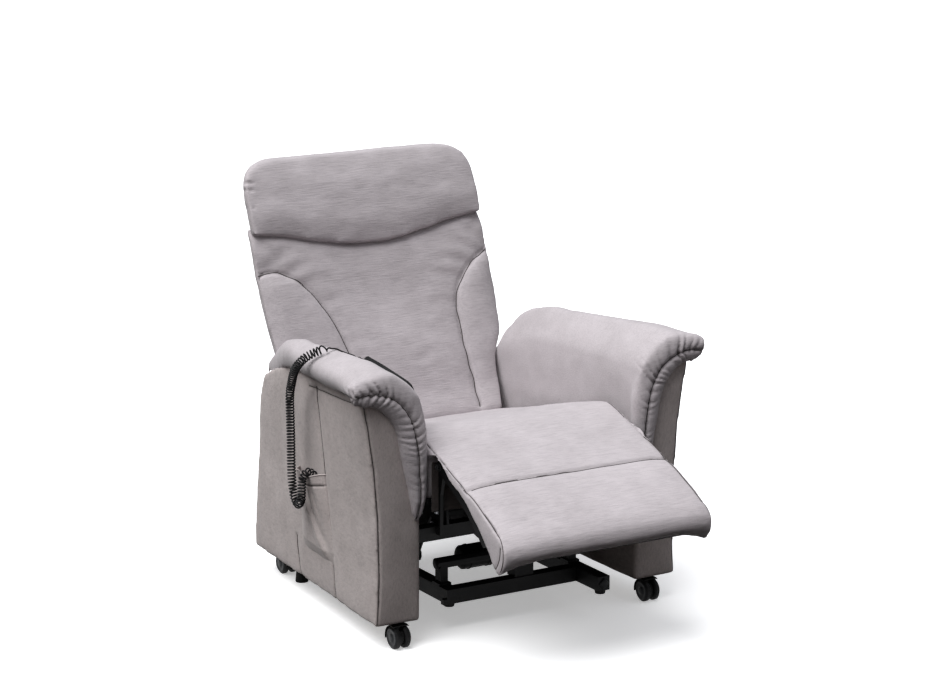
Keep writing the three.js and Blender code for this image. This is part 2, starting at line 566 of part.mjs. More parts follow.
// strain relief at the handset's rear end
const H0 = handPoint(0, HAND_L / 2 + GAP, 0);
const H1 = handPoint(0, HAND_L / 2 + 26, 0);
add('handset_strain_relief', bar(H0.toArray(), H1.toArray(), 5.5, 10, 3.4), RUBBER);

// the lead: straight from the strain relief along the arm's crest, then curly over the
// roll, hanging beside the arm and looping up into the pocket's mouth
function tubeAlong(points, r, sides, steps) {
  const curve = new THREE.CatmullRomCurve3(points.map((p) => new THREE.Vector3(...p)));
  const section = new THREE.Shape(Array.from({ length: sides }, (_, i) => {
    const a = (i / sides) * Math.PI * 2;
    return new THREE.Vector2(r * Math.cos(a), r * Math.sin(a));
  }));
  return new THREE.ExtrudeGeometry(section, { steps, bevelEnabled: false, extrudePath: curve });
}
export const LEAD = [
  handPoint(0, HAND_L / 2 + 26.5, 0).toArray(),
  handPoint(0, HAND_L / 2 + 40, 1).toArray(),
  [-300, -79, 590], [-313, -77, 596], [-330, -84, 605], [-345, -92, 609.5], [-357, -98, 612],
];
export const COIL = [
  [-358, -98.5, 612.4], [-374, -101, 611.2], [-391, -97, 605.5], [-407, -87, 595], [-416, -71, 578], [-416, -50, 558],
  [-412, -30, 530], [-409, -15, 500], [-406, -9, 450], [-404, -7, 400], [-404, -7, 340], [-404.5, -11, 300], [-405, -21, 272],
  [-405, -38, 258], [-405, -53, 271], [-404.5, -57, 300], [-402, -57, 323], [-389, -57, 338.5], [-374, -56, 329.5], [-371, -56, 312],
];
add('handset_lead', tubeAlong(LEAD, WIRE_R, 8, 14), RUBBER);
add('curly_lead', tubeAlong(COIL, COIL_R, 8, 40), RUBBER);

export default chair;
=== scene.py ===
import bpy, bmesh, math, json
import numpy as np
from mathutils import Vector, Matrix, noise
from mathutils.bvhtree import BVHTree


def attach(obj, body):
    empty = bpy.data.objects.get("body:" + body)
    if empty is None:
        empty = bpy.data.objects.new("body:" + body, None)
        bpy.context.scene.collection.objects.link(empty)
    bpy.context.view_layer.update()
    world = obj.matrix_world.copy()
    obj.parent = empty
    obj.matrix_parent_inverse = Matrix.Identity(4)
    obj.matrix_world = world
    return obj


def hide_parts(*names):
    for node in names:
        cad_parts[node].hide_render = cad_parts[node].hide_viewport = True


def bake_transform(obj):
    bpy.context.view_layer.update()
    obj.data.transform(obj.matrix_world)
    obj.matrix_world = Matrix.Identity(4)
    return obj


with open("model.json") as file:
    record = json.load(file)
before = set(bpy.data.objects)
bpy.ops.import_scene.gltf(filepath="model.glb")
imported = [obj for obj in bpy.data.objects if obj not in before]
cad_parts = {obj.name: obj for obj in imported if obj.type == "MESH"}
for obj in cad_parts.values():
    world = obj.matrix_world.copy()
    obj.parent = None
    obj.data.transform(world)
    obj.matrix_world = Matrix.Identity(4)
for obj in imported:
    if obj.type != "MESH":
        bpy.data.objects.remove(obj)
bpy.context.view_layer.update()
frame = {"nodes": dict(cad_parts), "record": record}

# Lift recliner chair, reclined. Metres; the helpers below take the millimetres of the
# CAD part's working frame, in which the arms' fronts are at y = -347.
YS = 53.1
S = bpy.context.scene
COL = S.collection


def P(x, y, z):
    return Vector((x / 1000, (y + YS) / 1000, z / 1000))


def link(o):
    COL.objects.link(o)
    return o


# ------------------------------------------------------------------ camera
cam = link(bpy.data.objects.new("camera", bpy.data.cameras.new("camera")))
cam.data.lens = 112.4
cam.data.sensor_width = 36
cam.data.clip_end = 900
cam.location = P(-3257, -5564, 2063)
cam.rotation_euler = Vector((0.49916, 0.83569, -0.22903)).to_track_quat("-Z", "Y").to_euler()
S.camera = cam

# ------------------------------------------------------------------ materials


class Nodes:
    def __init__(self, name):
        self.mat = bpy.data.materials.new(name)
        self.mat.use_nodes = True
        self.t = self.mat.node_tree
        self.n = self.t.nodes
        self.bsdf = self.n["Principled BSDF"]
        self.coord = self.n.new("ShaderNodeTexCoord").outputs["Object"]

    def link(self, a, b):
        self.t.links.new(a, b)

    def scaled(self, v, turn=(0, 0, 0)):
        m = self.n.new("ShaderNodeMapping")
        m.inputs["Scale"].default_value = v
        m.inputs["Rotation"].default_value = turn
        self.link(self.coord, m.inputs["Vector"])
        return m.outputs["Vector"]

    def noise(self, v, scale=1.0, detail=3.0, rough=0.5, turn=(0, 0, 0)):
        t = self.n.new("ShaderNodeTexNoise")
        t.inputs["Scale"].default_value = scale
        t.inputs["Detail"].default_value = detail
        t.inputs["Roughness"].default_value = rough
        self.link(self.scaled(v, turn), t.inputs["Vector"])
        return t.outputs["Fac"]

    def ramp(self, fac, stops):
        r = self.n.new("ShaderNodeValToRGB")
        e = r.color_ramp.elements
        e[0].position, e[0].color = stops[0][0], (*stops[0][1], 1)
        e[1].position, e[1].color = stops[-1][0], (*stops[-1][1], 1)
        for p, c in stops[1:-1]:
            x = e.new(p)
            x.color = (*c, 1)
        self.link(fac, r.inputs["Fac"])
        return r.outputs["Color"]

    def math(self, op, a, b=None, c=None):
        m = self.n.new("ShaderNodeMath")
        m.operation = op
        for i, v in enumerate((a, b, c)):
            if v is None:
                continue
            if isinstance(v, (int, float)):
                m.inputs[i].default_value = v
            else:
                self.link(v, m.inputs[i])
        return m.outputs[0]

    def mix(self, fac, a, b, mode="MIX"):
        m = self.n.new("ShaderNodeMix")
        m.data_type = "RGBA"
        m.blend_type = mode
        for sock, v in ((m.inputs[0], fac), (m.inputs[6], a), (m.inputs[7], b)):
            if isinstance(v, (int, float)):
                sock.default_value = v
            elif isinstance(v, tuple):
                sock.default_value = (*v, 1)
            else:
                self.link(v, sock)
        return m.outputs[2]

    def attribute(self, name):
        a = self.n.new("ShaderNodeAttribute")
        a.attribute_name = name
        return a.outputs["Fac"]

    def bump(self, height, strength, distance, under=None):
        b = self.n.new("ShaderNodeBump")
        b.inputs["Strength"].default_value = strength
        b.inputs["Distance"].default_value = distance
        self.link(height, b.inputs["Height"])
        if under is not None:
            self.link(under, b.inputs["Normal"])
        return b.outputs["Normal"]

    def set(self, **v):
        names = dict(color="Base Color", rough="Roughness", metal="Metallic", normal="Normal", sheen="Sheen Weight",
                     sheen_rough="Sheen Roughness", spec="Specular IOR Level", coat="Coat Weight", coat_rough="Coat Roughness")
        for k, x in v.items():
            s = self.bsdf.inputs[names[k]]
            if isinstance(x, (int, float)):
                s.default_value = x
            elif isinstance(x, tuple):
                s.default_value = (*x, 1) if len(x) == 3 else x
            else:
                self.link(x, s)
        return self.mat


def fabric(name, light, dark, along=(30, 350, 350), patch=(5, 5, 5), bump=0.5, streak=0.62):
    """Microfibre with fine short ribs that lie across the panel, brushed patches, and painted shade along seams where
    the seam attribute is set.
    """
    k = Nodes(name)
    ribs = k.noise(along, 1.0, 3.0, 0.6)
    fine = k.noise((850, 850, 850), 1.0, 2.0, 0.6)
    nap = k.noise(patch, 1.0, 4.0, 0.62)
    cloud = k.noise((17, 17, 17), 1.0, 3.0, 0.6)
    tone = k.math("ADD", k.math("MULTIPLY", nap, 0.5), k.math("MULTIPLY", cloud, 0.5))
    color = k.ramp(tone, [(0.36, dark), (0.64, light)])
    color = k.mix(streak, color, k.ramp(ribs, [(0.28, (0.78, 0.78, 0.785)), (0.50, (1.0, 1.0, 1.0)), (0.72, (1.12, 1.118, 1.115))]), "MULTIPLY")
    color = k.mix(0.45, color, k.ramp(fine, [(0.3, (0.80, 0.80, 0.80)), (0.7, (1.12, 1.12, 1.12))]), "MULTIPLY")
    # painted shade: the seam attribute mixes a near-black into the fabric along seam grooves and where parts meet
    seam = k.attribute("seam")
    color = k.mix(k.math("MULTIPLY", seam, 0.75), color, (0.06, 0.052, 0.05))
    n1 = k.bump(ribs, bump, 0.0013)
    n2 = k.bump(fine, 0.25, 0.0006, n1)
    n3 = k.bump(cloud, 0.12, 0.005, n2)
    return k.set(color=color, rough=k.math("MULTIPLY_ADD", ribs, 0.12, 0.82), normal=n3, sheen=0.25, sheen_rough=0.5, spec=0.15)


LIGHT = (0.530, 0.492, 0.506)
DARK = (0.462, 0.428, 0.439)
M_FABRIC = fabric("fabric_microfibre", LIGHT, DARK)
# the fabric for sides and rear: ribs along their own direction, and a darker, warmer tone that is painted shade for the
# less lit sides
M_SIDE_SHADED = fabric("fabric_microfibre_side_shaded", (0.520, 0.470, 0.456), (0.430, 0.386, 0.374), along=(320, 70, 140), bump=0.5, streak=0.6)
M_LINING = fabric("fabric_lining", (0.125, 0.107, 0.102), (0.09, 0.077, 0.074), along=(300, 300, 300), bump=0.35, streak=0.4)
# near-black dust cover for the boards under the pads, dark also so that the boards read as painted shade under the pads
M_DUST_COVER_AND_SHADE = fabric("dust_cover_and_shade", (0.022, 0.021, 0.021), (0.014, 0.0135, 0.0135), along=(500, 500, 500), bump=0.3, streak=0.4)


# thin near-black thread tubes laid in the seam grooves: painted shade in the grooves
def groove_shade_thread_material():
    k = Nodes("seam_thread_groove_shade")
    twist = k.noise((1800, 1800, 1800), 1.0, 1.0)
    return k.set(color=k.ramp(twist, [(0.35, (0.045, 0.039, 0.038)), (0.65, (0.10, 0.088, 0.085))]), rough=0.85, normal=k.bump(twist, 0.5, 0.0004))


def painted(name, base, rough=0.42, metal=0.0, wear=0.5):
    """Powder coat: orange peel and patchy dust."""
    k = Nodes(name)
    peel = k.noise((420, 420, 420), 1.0, 2.0)
    dust = k.noise((22, 22, 22), 1.0, 5.0, 0.65)
    light = tuple(min(1, c * 1.5 + 0.003) for c in base)
    color = k.ramp(dust, [(0.42, base), (0.78, light)])
    return k.set(color=color, rough=k.math("MULTIPLY_ADD", dust, 0.26, rough - 0.1), metal=metal, normal=k.bump(peel, 0.22 * wear, 0.0006), spec=0.22)


def plastic(name, base, rough=0.5, grain=1500):
    k = Nodes(name)
    g = k.noise((grain, grain, grain), 1.0, 1.5)
    smear = k.noise((30, 30, 30), 1.0, 4.0)
    return k.set(color=k.ramp(smear, [(0.35, base), (0.75, tuple(c * 1.5 + 0.004 for c in base))]),
                 rough=k.math("MULTIPLY_ADD", smear, 0.2, rough - 0.1), normal=k.bump(g, 0.16, 0.0004), spec=0.25)


def zinc():
    k = Nodes("zinc_steel")
    brush = k.noise((90, 12, 900), 1.0, 3.0)
    return k.set(color=k.ramp(brush, [(0.3, (0.42, 0.43, 0.45)), (0.7, (0.62, 0.63, 0.65))]), metal=1.0,
                 rough=k.math("MULTIPLY_ADD", brush, 0.25, 0.2), normal=k.bump(brush, 0.08, 0.0004))


def plywood():
    k = Nodes("plywood")
    g = k.noise((9, 260, 380), 1.0, 4.0, 0.6)
    f = k.noise((60, 60, 60), 1.0, 3.0)
    c = k.ramp(g, [(0.3, (0.36, 0.235, 0.125)), (0.55, (0.52, 0.37, 0.21)), (0.75, (0.60, 0.45, 0.27))])
    return k.set(color=k.mix(0.3, c, k.ramp(f, [(0.3, (0.75, 0.75, 0.75)), (0.7, (1.1, 1.1, 1.1))]), "MULTIPLY"), rough=0.72, normal=k.bump(g, 0.25, 0.0008))


M_GROOVE_SHADE_THREAD = groove_shade_thread_material()
M_STEEL = painted("black_steel", (0.0042, 0.0042, 0.0045), 0.5)
M_BLACK = plastic("black_plastic", (0.006, 0.006, 0.0063), 0.5)
M_MOTOR = plastic("motor_plastic", (0.0065, 0.0065, 0.007), 0.55, 900)
M_RUBBER = plastic("rubber_black", (0.010, 0.010, 0.010), 0.72, 700)
M_CORD = plastic("cord_black", (0.006, 0.006, 0.0068), 0.36, 900)
M_TREAD = plastic("wheel_tread", (0.009, 0.009, 0.0095), 0.5, 1100)
M_DISC = plastic("wheel_disc", (0.022, 0.0235, 0.026), 0.42, 1300)
M_KEY = plastic("key_plastic", (0.52, 0.53, 0.55), 0.45, 1400)
M_MARK = plastic("key_mark", (0.03, 0.03, 0.035), 0.5, 1400)
M_ZINC = zinc()
M_PLY = plywood()

SLOTS = {"upholstery": M_FABRIC, "lining": M_LINING, "black_steel": M_STEEL, "black_plastic": M_BLACK, "motor_plastic": M_MOTOR,
         "key_plastic": M_KEY, "rubber": M_RUBBER, "tread": M_TREAD, "plywood": M_PLY, "rod_steel": M_ZINC}
SLOT_OF = {s["node"]: s["material_slot"] for s in frame["record"]["subparts"]}

for node, o in frame["nodes"].items():
    o.data.materials.clear()
    # the footrest board and seat deck get the near-black dust cover, which also paints them as shade under the pads
    o.data.materials.append(M_DUST_COVER_AND_SHADE if node in ("footrest_board", "seat_deck") else SLOTS[SLOT_OF[node]])

# ------------------------------------------------------------------ mesh helpers


def new_object(name, verts, faces, mat=None, smooth=True):
    me = bpy.data.meshes.new(name)
    me.from_pydata([tuple(v) for v in verts], [], [tuple(f) for f in faces])
    me.validate()
    me.update()
    if smooth:
        me.shade_smooth()
    o = link(bpy.data.objects.new(name, me))
    if mat:
        me.materials.append(mat)
    return o


def coords(o):
    a = np.empty(len(o.data.vertices) * 3)
    o.data.vertices.foreach_get("co", a)
    return a.reshape(-1, 3)


def set_coords(o, c):
    o.data.vertices.foreach_set("co", np.ascontiguousarray(c, dtype=np.float64).ravel())
    o.data.update()


def normals(o):
    a = np.empty(len(o.data.vertices) * 3)
    o.data.vertex_normals.foreach_get("vector", a)
    return a.reshape(-1, 3)


def bake(o):
    """Applies every modifier on o."""
    deps = bpy.context.evaluated_depsgraph_get()
    me = bpy.data.meshes.new_from_object(o.evaluated_get(deps))
    mats = [m for m in o.data.materials]
    o.modifiers.clear()
    old = o.data
    o.data = me
    if old.users == 0:
        bpy.data.meshes.remove(old)
    if not me.materials:
        for m in mats:
            me.materials.append(m)
    me.shade_smooth()
    return o


def mm(c):
    """Row-frame metres to the working frame's millimetres."""
    return c * 1000 - np.array([0, YS, 0])


def met(c):
    return (c + np.array([0, YS, 0])) / 1000


def remesh(o, voxel):
    m = o.modifiers.new("remesh", "REMESH")
    m.mode = "VOXEL"
    m.voxel_size = voxel
    return bake(o)


def relax(o, n, factor=0.5):
    if n:
        m = o.modifiers.new("relax", "SMOOTH")
        m.factor = factor
        m.iterations = n
        bake(o)
    return o


def relax_where(o, weight, n):
    """Relaxes o only where weight, one number from 0 to 1 for each vertex, is above zero."""
    group = o.vertex_groups.new(name="where")
    for i in np.where(weight > 0.01)[0]:
        group.add([int(i)], float(weight[i]), "REPLACE")
    m = o.modifiers.new("relax", "SMOOTH")
    m.factor = 0.5
    m.iterations = n
    m.vertex_group = group.name
    bake(o)
    o.vertex_groups.clear()
    return o


def subdivide(o, levels=1):
    m = o.modifiers.new("sub", "SUBSURF")
    m.levels = m.render_levels = levels
    return bake(o)


def from_node(name, *nodes):
    bm = bmesh.new()
    for n in nodes:
        src = frame["nodes"][n]
        me = src.data.copy()
        me.transform(src.matrix_world)
        bm.from_mesh(me)
        bpy.data.meshes.remove(me)
    bmesh.ops.remove_doubles(bm, verts=bm.verts, dist=2e-5)
    me = bpy.data.meshes.new(name)
    bm.to_mesh(me)
    bm.free()
    me.materials.clear()
    return link(bpy.data.objects.new(name, me))


def prism(name, rings, mat=None):
    """A closed solid through rings of equally many points."""
    rings = [np.asarray(r, float) for r in rings]
    n = len(rings[0])
    verts = [p for r in rings for p in r]
    faces = []
    for i in range(len(rings) - 1):
        for j in range(n):
            a, b = i * n + j, i * n + (j + 1) % n
            faces.append((a, b, b + n, a + n))
    faces.append(tuple(range(n - 1, -1, -1)))
    faces.append(tuple((len(rings) - 1) * n + j for j in range(n)))
    o = new_object(name, [met(v) for v in verts], faces, mat)
    bm = bmesh.new()
    bm.from_mesh(o.data)
    bmesh.ops.recalc_face_normals(bm, faces=bm.faces)
    bm.to_mesh(o.data)
    bm.free()
    return o


def merge(o, *others):
    bm = bmesh.new()
    for x in (o, *others):
        me = x.data.copy()
        me.transform(x.matrix_world)
        bm.from_mesh(me)
        bpy.data.meshes.remove(me)
    bm.to_mesh(o.data)
    bm.free()
    o.matrix_world = Matrix.Identity(4)
    for x in others:
        bpy.data.objects.remove(x)
    return o


def push(o, amount):
    """Moves each vertex along its normal by amount, in metres: one number, or one for each vertex."""
    c, n = coords(o), normals(o)
    a = np.broadcast_to(np.asarray(amount, float), (len(c),))
    set_coords(o, c + n * a[:, None])
    return o


def spread(o, value, rounds):
    """Averages a value over each vertex's neighbours, so many rounds."""
    me = o.data
    e = np.empty(len(me.edges) * 2, np.int32)
    me.edges.foreach_get("vertices", e)
    e = e.reshape(-1, 2)
    count = np.maximum(np.bincount(e.ravel(), minlength=len(me.vertices)), 1)
    v = np.asarray(value, float)
    for _ in range(rounds):
        total = np.bincount(e[:, 0], v[e[:, 1]], len(v)) + np.bincount(e[:, 1], v[e[:, 0]], len(v))
        v = 0.5 * v + 0.5 * total / count
    return v


def inflate(o, pressure=4.0, cap=0.012, frames=15, stiff=12.0, bend=0.6):
    """Fills the skin with pressure, with no gravity, and lets no point move further than cap."""
    start = coords(o).copy()
    m = o.modifiers.new("cloth", "CLOTH")
    s = m.settings
    s.quality = 4
    s.mass = 0.3
    s.tension_stiffness = s.compression_stiffness = stiff
    s.shear_stiffness = stiff * 0.4
    s.bending_stiffness = bend
    s.air_damping = 2.0
    s.use_pressure = True
    s.uniform_pressure_force = pressure
    s.effector_weights.gravity = 0
    m.collision_settings.use_collision = False
    m.collision_settings.use_self_collision = False
    m.point_cache.frame_start, m.point_cache.frame_end = 1, frames
    for f in range(1, frames + 1):
        S.frame_set(f)
    e = o.evaluated_get(bpy.context.evaluated_depsgraph_get())
    a = np.empty(len(e.data.vertices) * 3)
    e.data.vertices.foreach_get("co", a)
    end = a.reshape(-1, 3)
    o.modifiers.remove(m)
    S.frame_set(1)
    n = normals(o)
    out = ((end - start) * n).sum(1)
    # the even part of the filling's fullness, up to the cap, with a little of its unevenness
    even = spread(o, out, 36)
    scale = min(1.0, cap / max(float(np.percentile(np.abs(even), 99)), 1e-9))
    uneven = np.clip(spread(o, out, 6) - even, -0.004, 0.004) * 0.22
    set_coords(o, start + n * (even * scale + uneven)[:, None])
    return o


def resample(line, step):
    p = np.asarray(line, float)
    d = np.r_[0, np.cumsum(np.linalg.norm(np.diff(p, axis=0), axis=1))]
    n = max(2, int(round(d[-1] / step)) + 1)
    t = np.linspace(0, d[-1], n)
    return np.stack([np.interp(t, d, p[:, i]) for i in range(p.shape[1])], 1)


def curve_through(pts, per=10):
    """A smooth centripetal curve through the points."""
    p = np.asarray(pts, float)
    p = np.vstack([2 * p[0] - p[1], p, 2 * p[-1] - p[-2]])
    out = []
    for i in range(1, len(p) - 2):
        p0, p1, p2, p3 = p[i - 1:i + 3]
        t = [0.0]
        for a, b in ((p0, p1), (p1, p2), (p2, p3)):
            t.append(t[-1] + max(1e-9, np.linalg.norm(b - a)) ** 0.5)
        for u in np.linspace(t[1], t[2], per, endpoint=False):
            a1 = (t[1] - u) / (t[1] - t[0]) * p0 + (u - t[0]) / (t[1] - t[0]) * p1
            a2 = (t[2] - u) / (t[2] - t[1]) * p1 + (u - t[1]) / (t[2] - t[1]) * p2
            a3 = (t[3] - u) / (t[3] - t[2]) * p2 + (u - t[2]) / (t[3] - t[2]) * p3
            b1 = (t[2] - u) / (t[2] - t[0]) * a1 + (u - t[0]) / (t[2] - t[0]) * a2
            b2 = (t[3] - u) / (t[3] - t[1]) * a2 + (u - t[1]) / (t[3] - t[1]) * a3
            out.append((t[2] - u) / (t[2] - t[1]) * b1 + (u - t[1]) / (t[2] - t[1]) * b2)
    out.append(p[-2])
    return np.array(out)


def distance(c, line):
    """For each point in c: how far it is from the polyline, how far along the polyline that is, and the nearest point on it."""
    a, b = line[:-1], line[1:]
    ab = b - a
    l2 = np.maximum((ab ** 2).sum(1), 1e-9)
    run = np.r_[0, np.cumsum(np.sqrt(l2))]
    best = np.full(len(c), 1e9)
    where = np.zeros(len(c))
    point = np.zeros((len(c), 3))
    for i in range(len(a)):
        t = np.clip(((c - a[i]) @ ab[i]) / l2[i], 0, 1)
        q = a[i] + t[:, None] * ab[i]
        d = np.linalg.norm(c - q, axis=1)
        hit = d < best
        best[hit] = d[hit]
        where[hit] = run[i] + t[hit] * math.sqrt(l2[i])
        point[hit] = q[hit]
    return best, where, point


def box_in(o, A=np.eye(3)):
    c = mm(coords(o)) @ A.T
    return c.min(0), c.max(0)


def fit(o, box, A=np.eye(3), lo=(0, 0, 0), hi=(0, 0, 0), axes=(0, 1, 2)):
    """Stretches o so that its box along the axes A is `box`, let out by lo and hi millimetres."""
    c = mm(coords(o)) @ A.T
    a, b = c.min(0), c.max(0)
    for k in axes:
        t0, t1 = box[0][k] - lo[k], box[1][k] + hi[k]
        c[:, k] = t0 + (c[:, k] - a[k]) / (b[k] - a[k]) * (t1 - t0)
    set_coords(o, met(c @ A))
    return o


def paint_seam_shade(o, value):
    """Adds value to the mesh's seam attribute, which paints shade into the fabric's colour."""
    a = o.data.attributes.get("seam") or o.data.attributes.new("seam", "FLOAT", "POINT")
    old = np.empty(len(o.data.vertices), np.float32)
    a.data.foreach_get("value", old)
    a.data.foreach_set("value", np.maximum(old, value).astype(np.float32))


def seam(o, line, deep=3.0, wide=3.4, soft=0.0, soft_wide=30.0, dark=0.5, painted_shade_wide=2.6, gather=0.0, pitch=16.0, reach=26.0, facing=None, snap=2.2, seed=0.0, spots=(), slant=0.45):
    """A sewn seam along line (millimetres): a narrow groove, a broad hollow beside it, gathers that run off it, and
    painted shade along it in the seam attribute.
    """
    c = mm(coords(o))
    line = resample(line, 4.0)
    near = np.where(((c > line.min(0) - 80) & (c < line.max(0) + 80)).all(1))[0]
    if not len(near):
        return o
    d, w, q = distance(c[near], line)
    n = normals(o)[near]
    keep = np.ones(len(near), bool) if facing is None else (n @ np.asarray(facing, float)) > 0.15
    cc = coords(o)
    if snap:
        # vertices beside the seam slide onto it, so that the groove is one clean line
        pull = (d < snap) & keep
        move = q[pull] - c[near][pull]
        move -= (move * n[pull]).sum(1)[:, None] * n[pull]
        cc[near[pull]] += move / 1000
        d = d.copy()
        d[pull] = np.linalg.norm(mm(cc[near[pull]]) - q[pull], axis=1) * 0.5
    amount = -deep * np.exp(-((d / wide) ** 2)) - soft * np.exp(-((d / soft_wide) ** 1.5))
    if gather:
        for i in np.where(d < reach * 2.6)[0]:
            v, dist = w[i] + slant * d[i], d[i]
            here = sum(math.exp(-(((w[i] - at) / half) ** 2)) * much for at, half, much in spots) if spots else 1.0
            if here < 0.03:
                continue
            v += noise.noise(Vector((v * 0.022, dist * 0.012, 3.1 + seed))) * 12
            k = math.floor(v / pitch)
            size = 0.25 + 1.9 * abs(noise.noise(Vector((k * 1.37 + 0.5, 7.7 + seed, 1.3))))
            fold = (0.5 + 0.5 * math.cos(v * 2 * math.pi / pitch)) ** 2.2
            far = reach * (0.55 + 0.8 * abs(noise.noise(Vector((k * 2.11 + 0.3, 2.7 + seed, 5.3)))) * 1.6)
            amount[i] += gather * here * size * (0.42 - 1.42 * fold) * math.exp(-((dist / far) ** 1.6)) * min(1, dist / 3.5)
    amount = np.where(keep, amount, 0)
    d = np.where(keep, d, 1e9)
    cc[near] += n * (amount / 1000)[:, None]
    set_coords(o, cc)
    # painted shade along the seam, strongest on its line, kept in the seam attribute
    value = np.zeros(len(c))
    value[near] = dark * np.exp(-((d / painted_shade_wide) ** 2))
    paint_seam_shade(o, value)
    return o


THREADS = []


def stitch(name, o, line, body, r=0.85, within=14.0):
    """Notes a seam line, to be laid on o once o has its last shape."""
    THREADS.append((name, o, np.asarray(line, float), body, r, within))


def lay_threads(o, material=None):
    """Lays the seam lines noted for o on its surface, as thin dark tubes that paint shade into the seam grooves."""
    tree = BVHTree.FromObject(o, bpy.context.evaluated_depsgraph_get())
    for item in [t for t in THREADS if t[1] is o]:
        name, _, line, body, r, within = item
        THREADS.remove(item)
        ps, ns = [], []
        for p in resample(curve_through(line, 2) if len(line) < 60 else line, 4.0):
            hit, n, _, dist = tree.find_nearest(Vector(met(p)))
            if hit is not None and dist < within / 1000:
                ps.append(met(p))
                ns.append(np.array(n))
        if len(ps) < 5:
            continue
        ps, ns = np.array(ps), np.array(ns)
        for _ in range(14):
            ns[1:-1] = (ns[:-2] + ns[1:-1] + ns[2:]) / 3
        ns /= np.maximum(np.linalg.norm(ns, axis=1, keepdims=True), 1e-9)
        pts = []
        for p, n in zip(ps, ns):
            hit, _, _, _ = tree.ray_cast(Vector(p + n * 0.012), Vector(-n), 0.028)
            if hit is not None:
                pts.append(np.array(hit) + n * 0.0005)
        if len(pts) < 5:
            continue
        pts = np.array(pts)
        for _ in range(4):
            pts[1:-1] = (pts[:-2] + 2 * pts[1:-1] + pts[2:]) / 4
        t = tube(name, [Vector(p) for p in pts], r / 1000, body, material or M_GROOVE_SHADE_THREAD, 2)


def tube(name, pts, r, body, mat, res=4, cyclic=False, caps=True):
    cu = bpy.data.curves.new(name, "CURVE")
    cu.dimensions = "3D"
    cu.bevel_depth = r
    cu.bevel_resolution = res
    cu.use_fill_caps = caps
    s = cu.splines.new("POLY")
    s.points.add(len(pts) - 1)
    for q, p in zip(s.points, pts):
        q.co = (*p, 1)
    s.use_cyclic_u = cyclic
    cu.materials.append(mat)
    o = link(bpy.data.objects.new(name, cu))
    if body:
        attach(o, body)
    return o


def paint(o, mat):
    o.data.materials.clear()
    o.data.materials.append(mat)
    return o


def wrinkle(o, amount, scale=(9, 9, 9), seed=0.0, where=None):
    """Soft uneven undulation of the fabric, in millimetres."""
    c, n = coords(o), normals(o)
    s = np.array(scale)
    w = np.array([noise.noise(Vector(v)) for v in c * s + seed])
    if where is not None:
        w = w * where(mm(c))
    set_coords(o, c + n * (w * amount / 1000)[:, None])
    return o


def add_soft(o, node, body, mat=None):
    paint(o, mat or M_FABRIC)
    if isinstance(node, str):
        node = [node]
    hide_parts(*node)
    if body:
        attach(o, body)
    return o


# ------------------------------------------------------------------ the lead of the hand control
WIRE = 3.4
COIL_RADIUS = 8.3
HAND = Matrix.Translation(Vector((-271, -201.8, 558.2))) @ (Matrix.Rotation(math.radians(58), 4, "Y") @ Matrix.Rotation(math.radians(-1.4), 4, "X") @ Matrix.Rotation(0.297, 4, "Z"))
ARM_TOP = [(-370, 608), (-347, 614), (-251, 617), (-97, 607), (70, 592), (180, 557), (246, 524), (314, 479), (334, 462)]


def lift(y, z):
    top = np.interp(y, [a for a, _ in ARM_TOP], [b for _, b in ARM_TOP])
    return np.where(np.asarray(z) <= 430, z, 430 + (np.asarray(z) - 430) * (top - 430) / (622 - 430))


def hand_point(a, b, c):
    return tuple(HAND @ Vector((a, b, c)))


STRAIGHT = [hand_point(0, 105.5, 0), hand_point(0, 119, 1), (-300, -79, 590), (-313, -77, 596), (-330, -84, 605), (-345, -92, 609.5)]
COIL = [(-358, -98.5, 613.4), (-374, -101, 612.4), (-391, -97, 606.9), (-407.8, -87, 596), (-417, -71, 578.4), (-416, -50, 558),
        (-412, -30, 530), (-409, -15, 500), (-406, -9, 450), (-404, -7, 400), (-404, -7, 340), (-404.5, -11, 300), (-405, -21, 272),
        (-405, -38, 258), (-405, -52, 270), (-404.5, -55, 297), (-401.5, -54, 318), (-389, -53, 331.5), (-375, -53, 324), (-371, -54, 308)]


def coiled_lead():
    """The straight stretch and then the helix, as one line of the lead's own centre."""
    fine = curve_through(STRAIGHT + COIL, 14)
    axis = resample(fine, 1.0)
    run = np.r_[0, np.cumsum(np.linalg.norm(np.diff(axis, axis=0), axis=1))]
    start = run[np.argmin(np.linalg.norm(axis - np.array(COIL[0]), axis=1))] - 8
    tan = np.gradient(axis, axis=0)
    tan /= np.linalg.norm(tan, axis=1, keepdims=True)
    u = np.cross(tan[0], [0, 0, 1.0])
    u /= np.linalg.norm(u)
    frames = [u]
    for i in range(1, len(axis)):
        u = frames[-1] - (frames[-1] @ tan[i]) * tan[i]
        frames.append(u / np.linalg.norm(u))
    frames = np.array(frames)
    side = np.cross(tan, frames)
    k = run - start
    # the wire widens into the helix over its first turn, in a long pitch that then closes up
    ramp = np.clip(k / 22, 0, 1)
    ramp = ramp * ramp * (3 - 2 * ramp)
    pitch = np.interp(k, [0, 14, 22, 30, 120, 200, 320, 400, 640], [40, 30, 20, 7.6, 6.8, 6.7, 6.7, 6.8, 6.9])
    phase = np.cumsum(np.r_[0, np.where(k[1:] > 0, np.diff(run) * 2 * math.pi / pitch[1:], 0)])
    out = [axis[i] for i in range(0, int(np.searchsorted(run, start)), 3)]
    for a in np.arange(0.12, phase[-1], 2 * math.pi / 16):
        at = np.interp(a, phase, run)
        c, f, g = (np.array([np.interp(at, run, m[:, j]) for j in range(3)]) for m in (axis, frames, side))
        out.append(c + COIL_RADIUS * np.interp(at, run, ramp) * (math.cos(a) * f + math.sin(a) * g))
    return np.array(out)


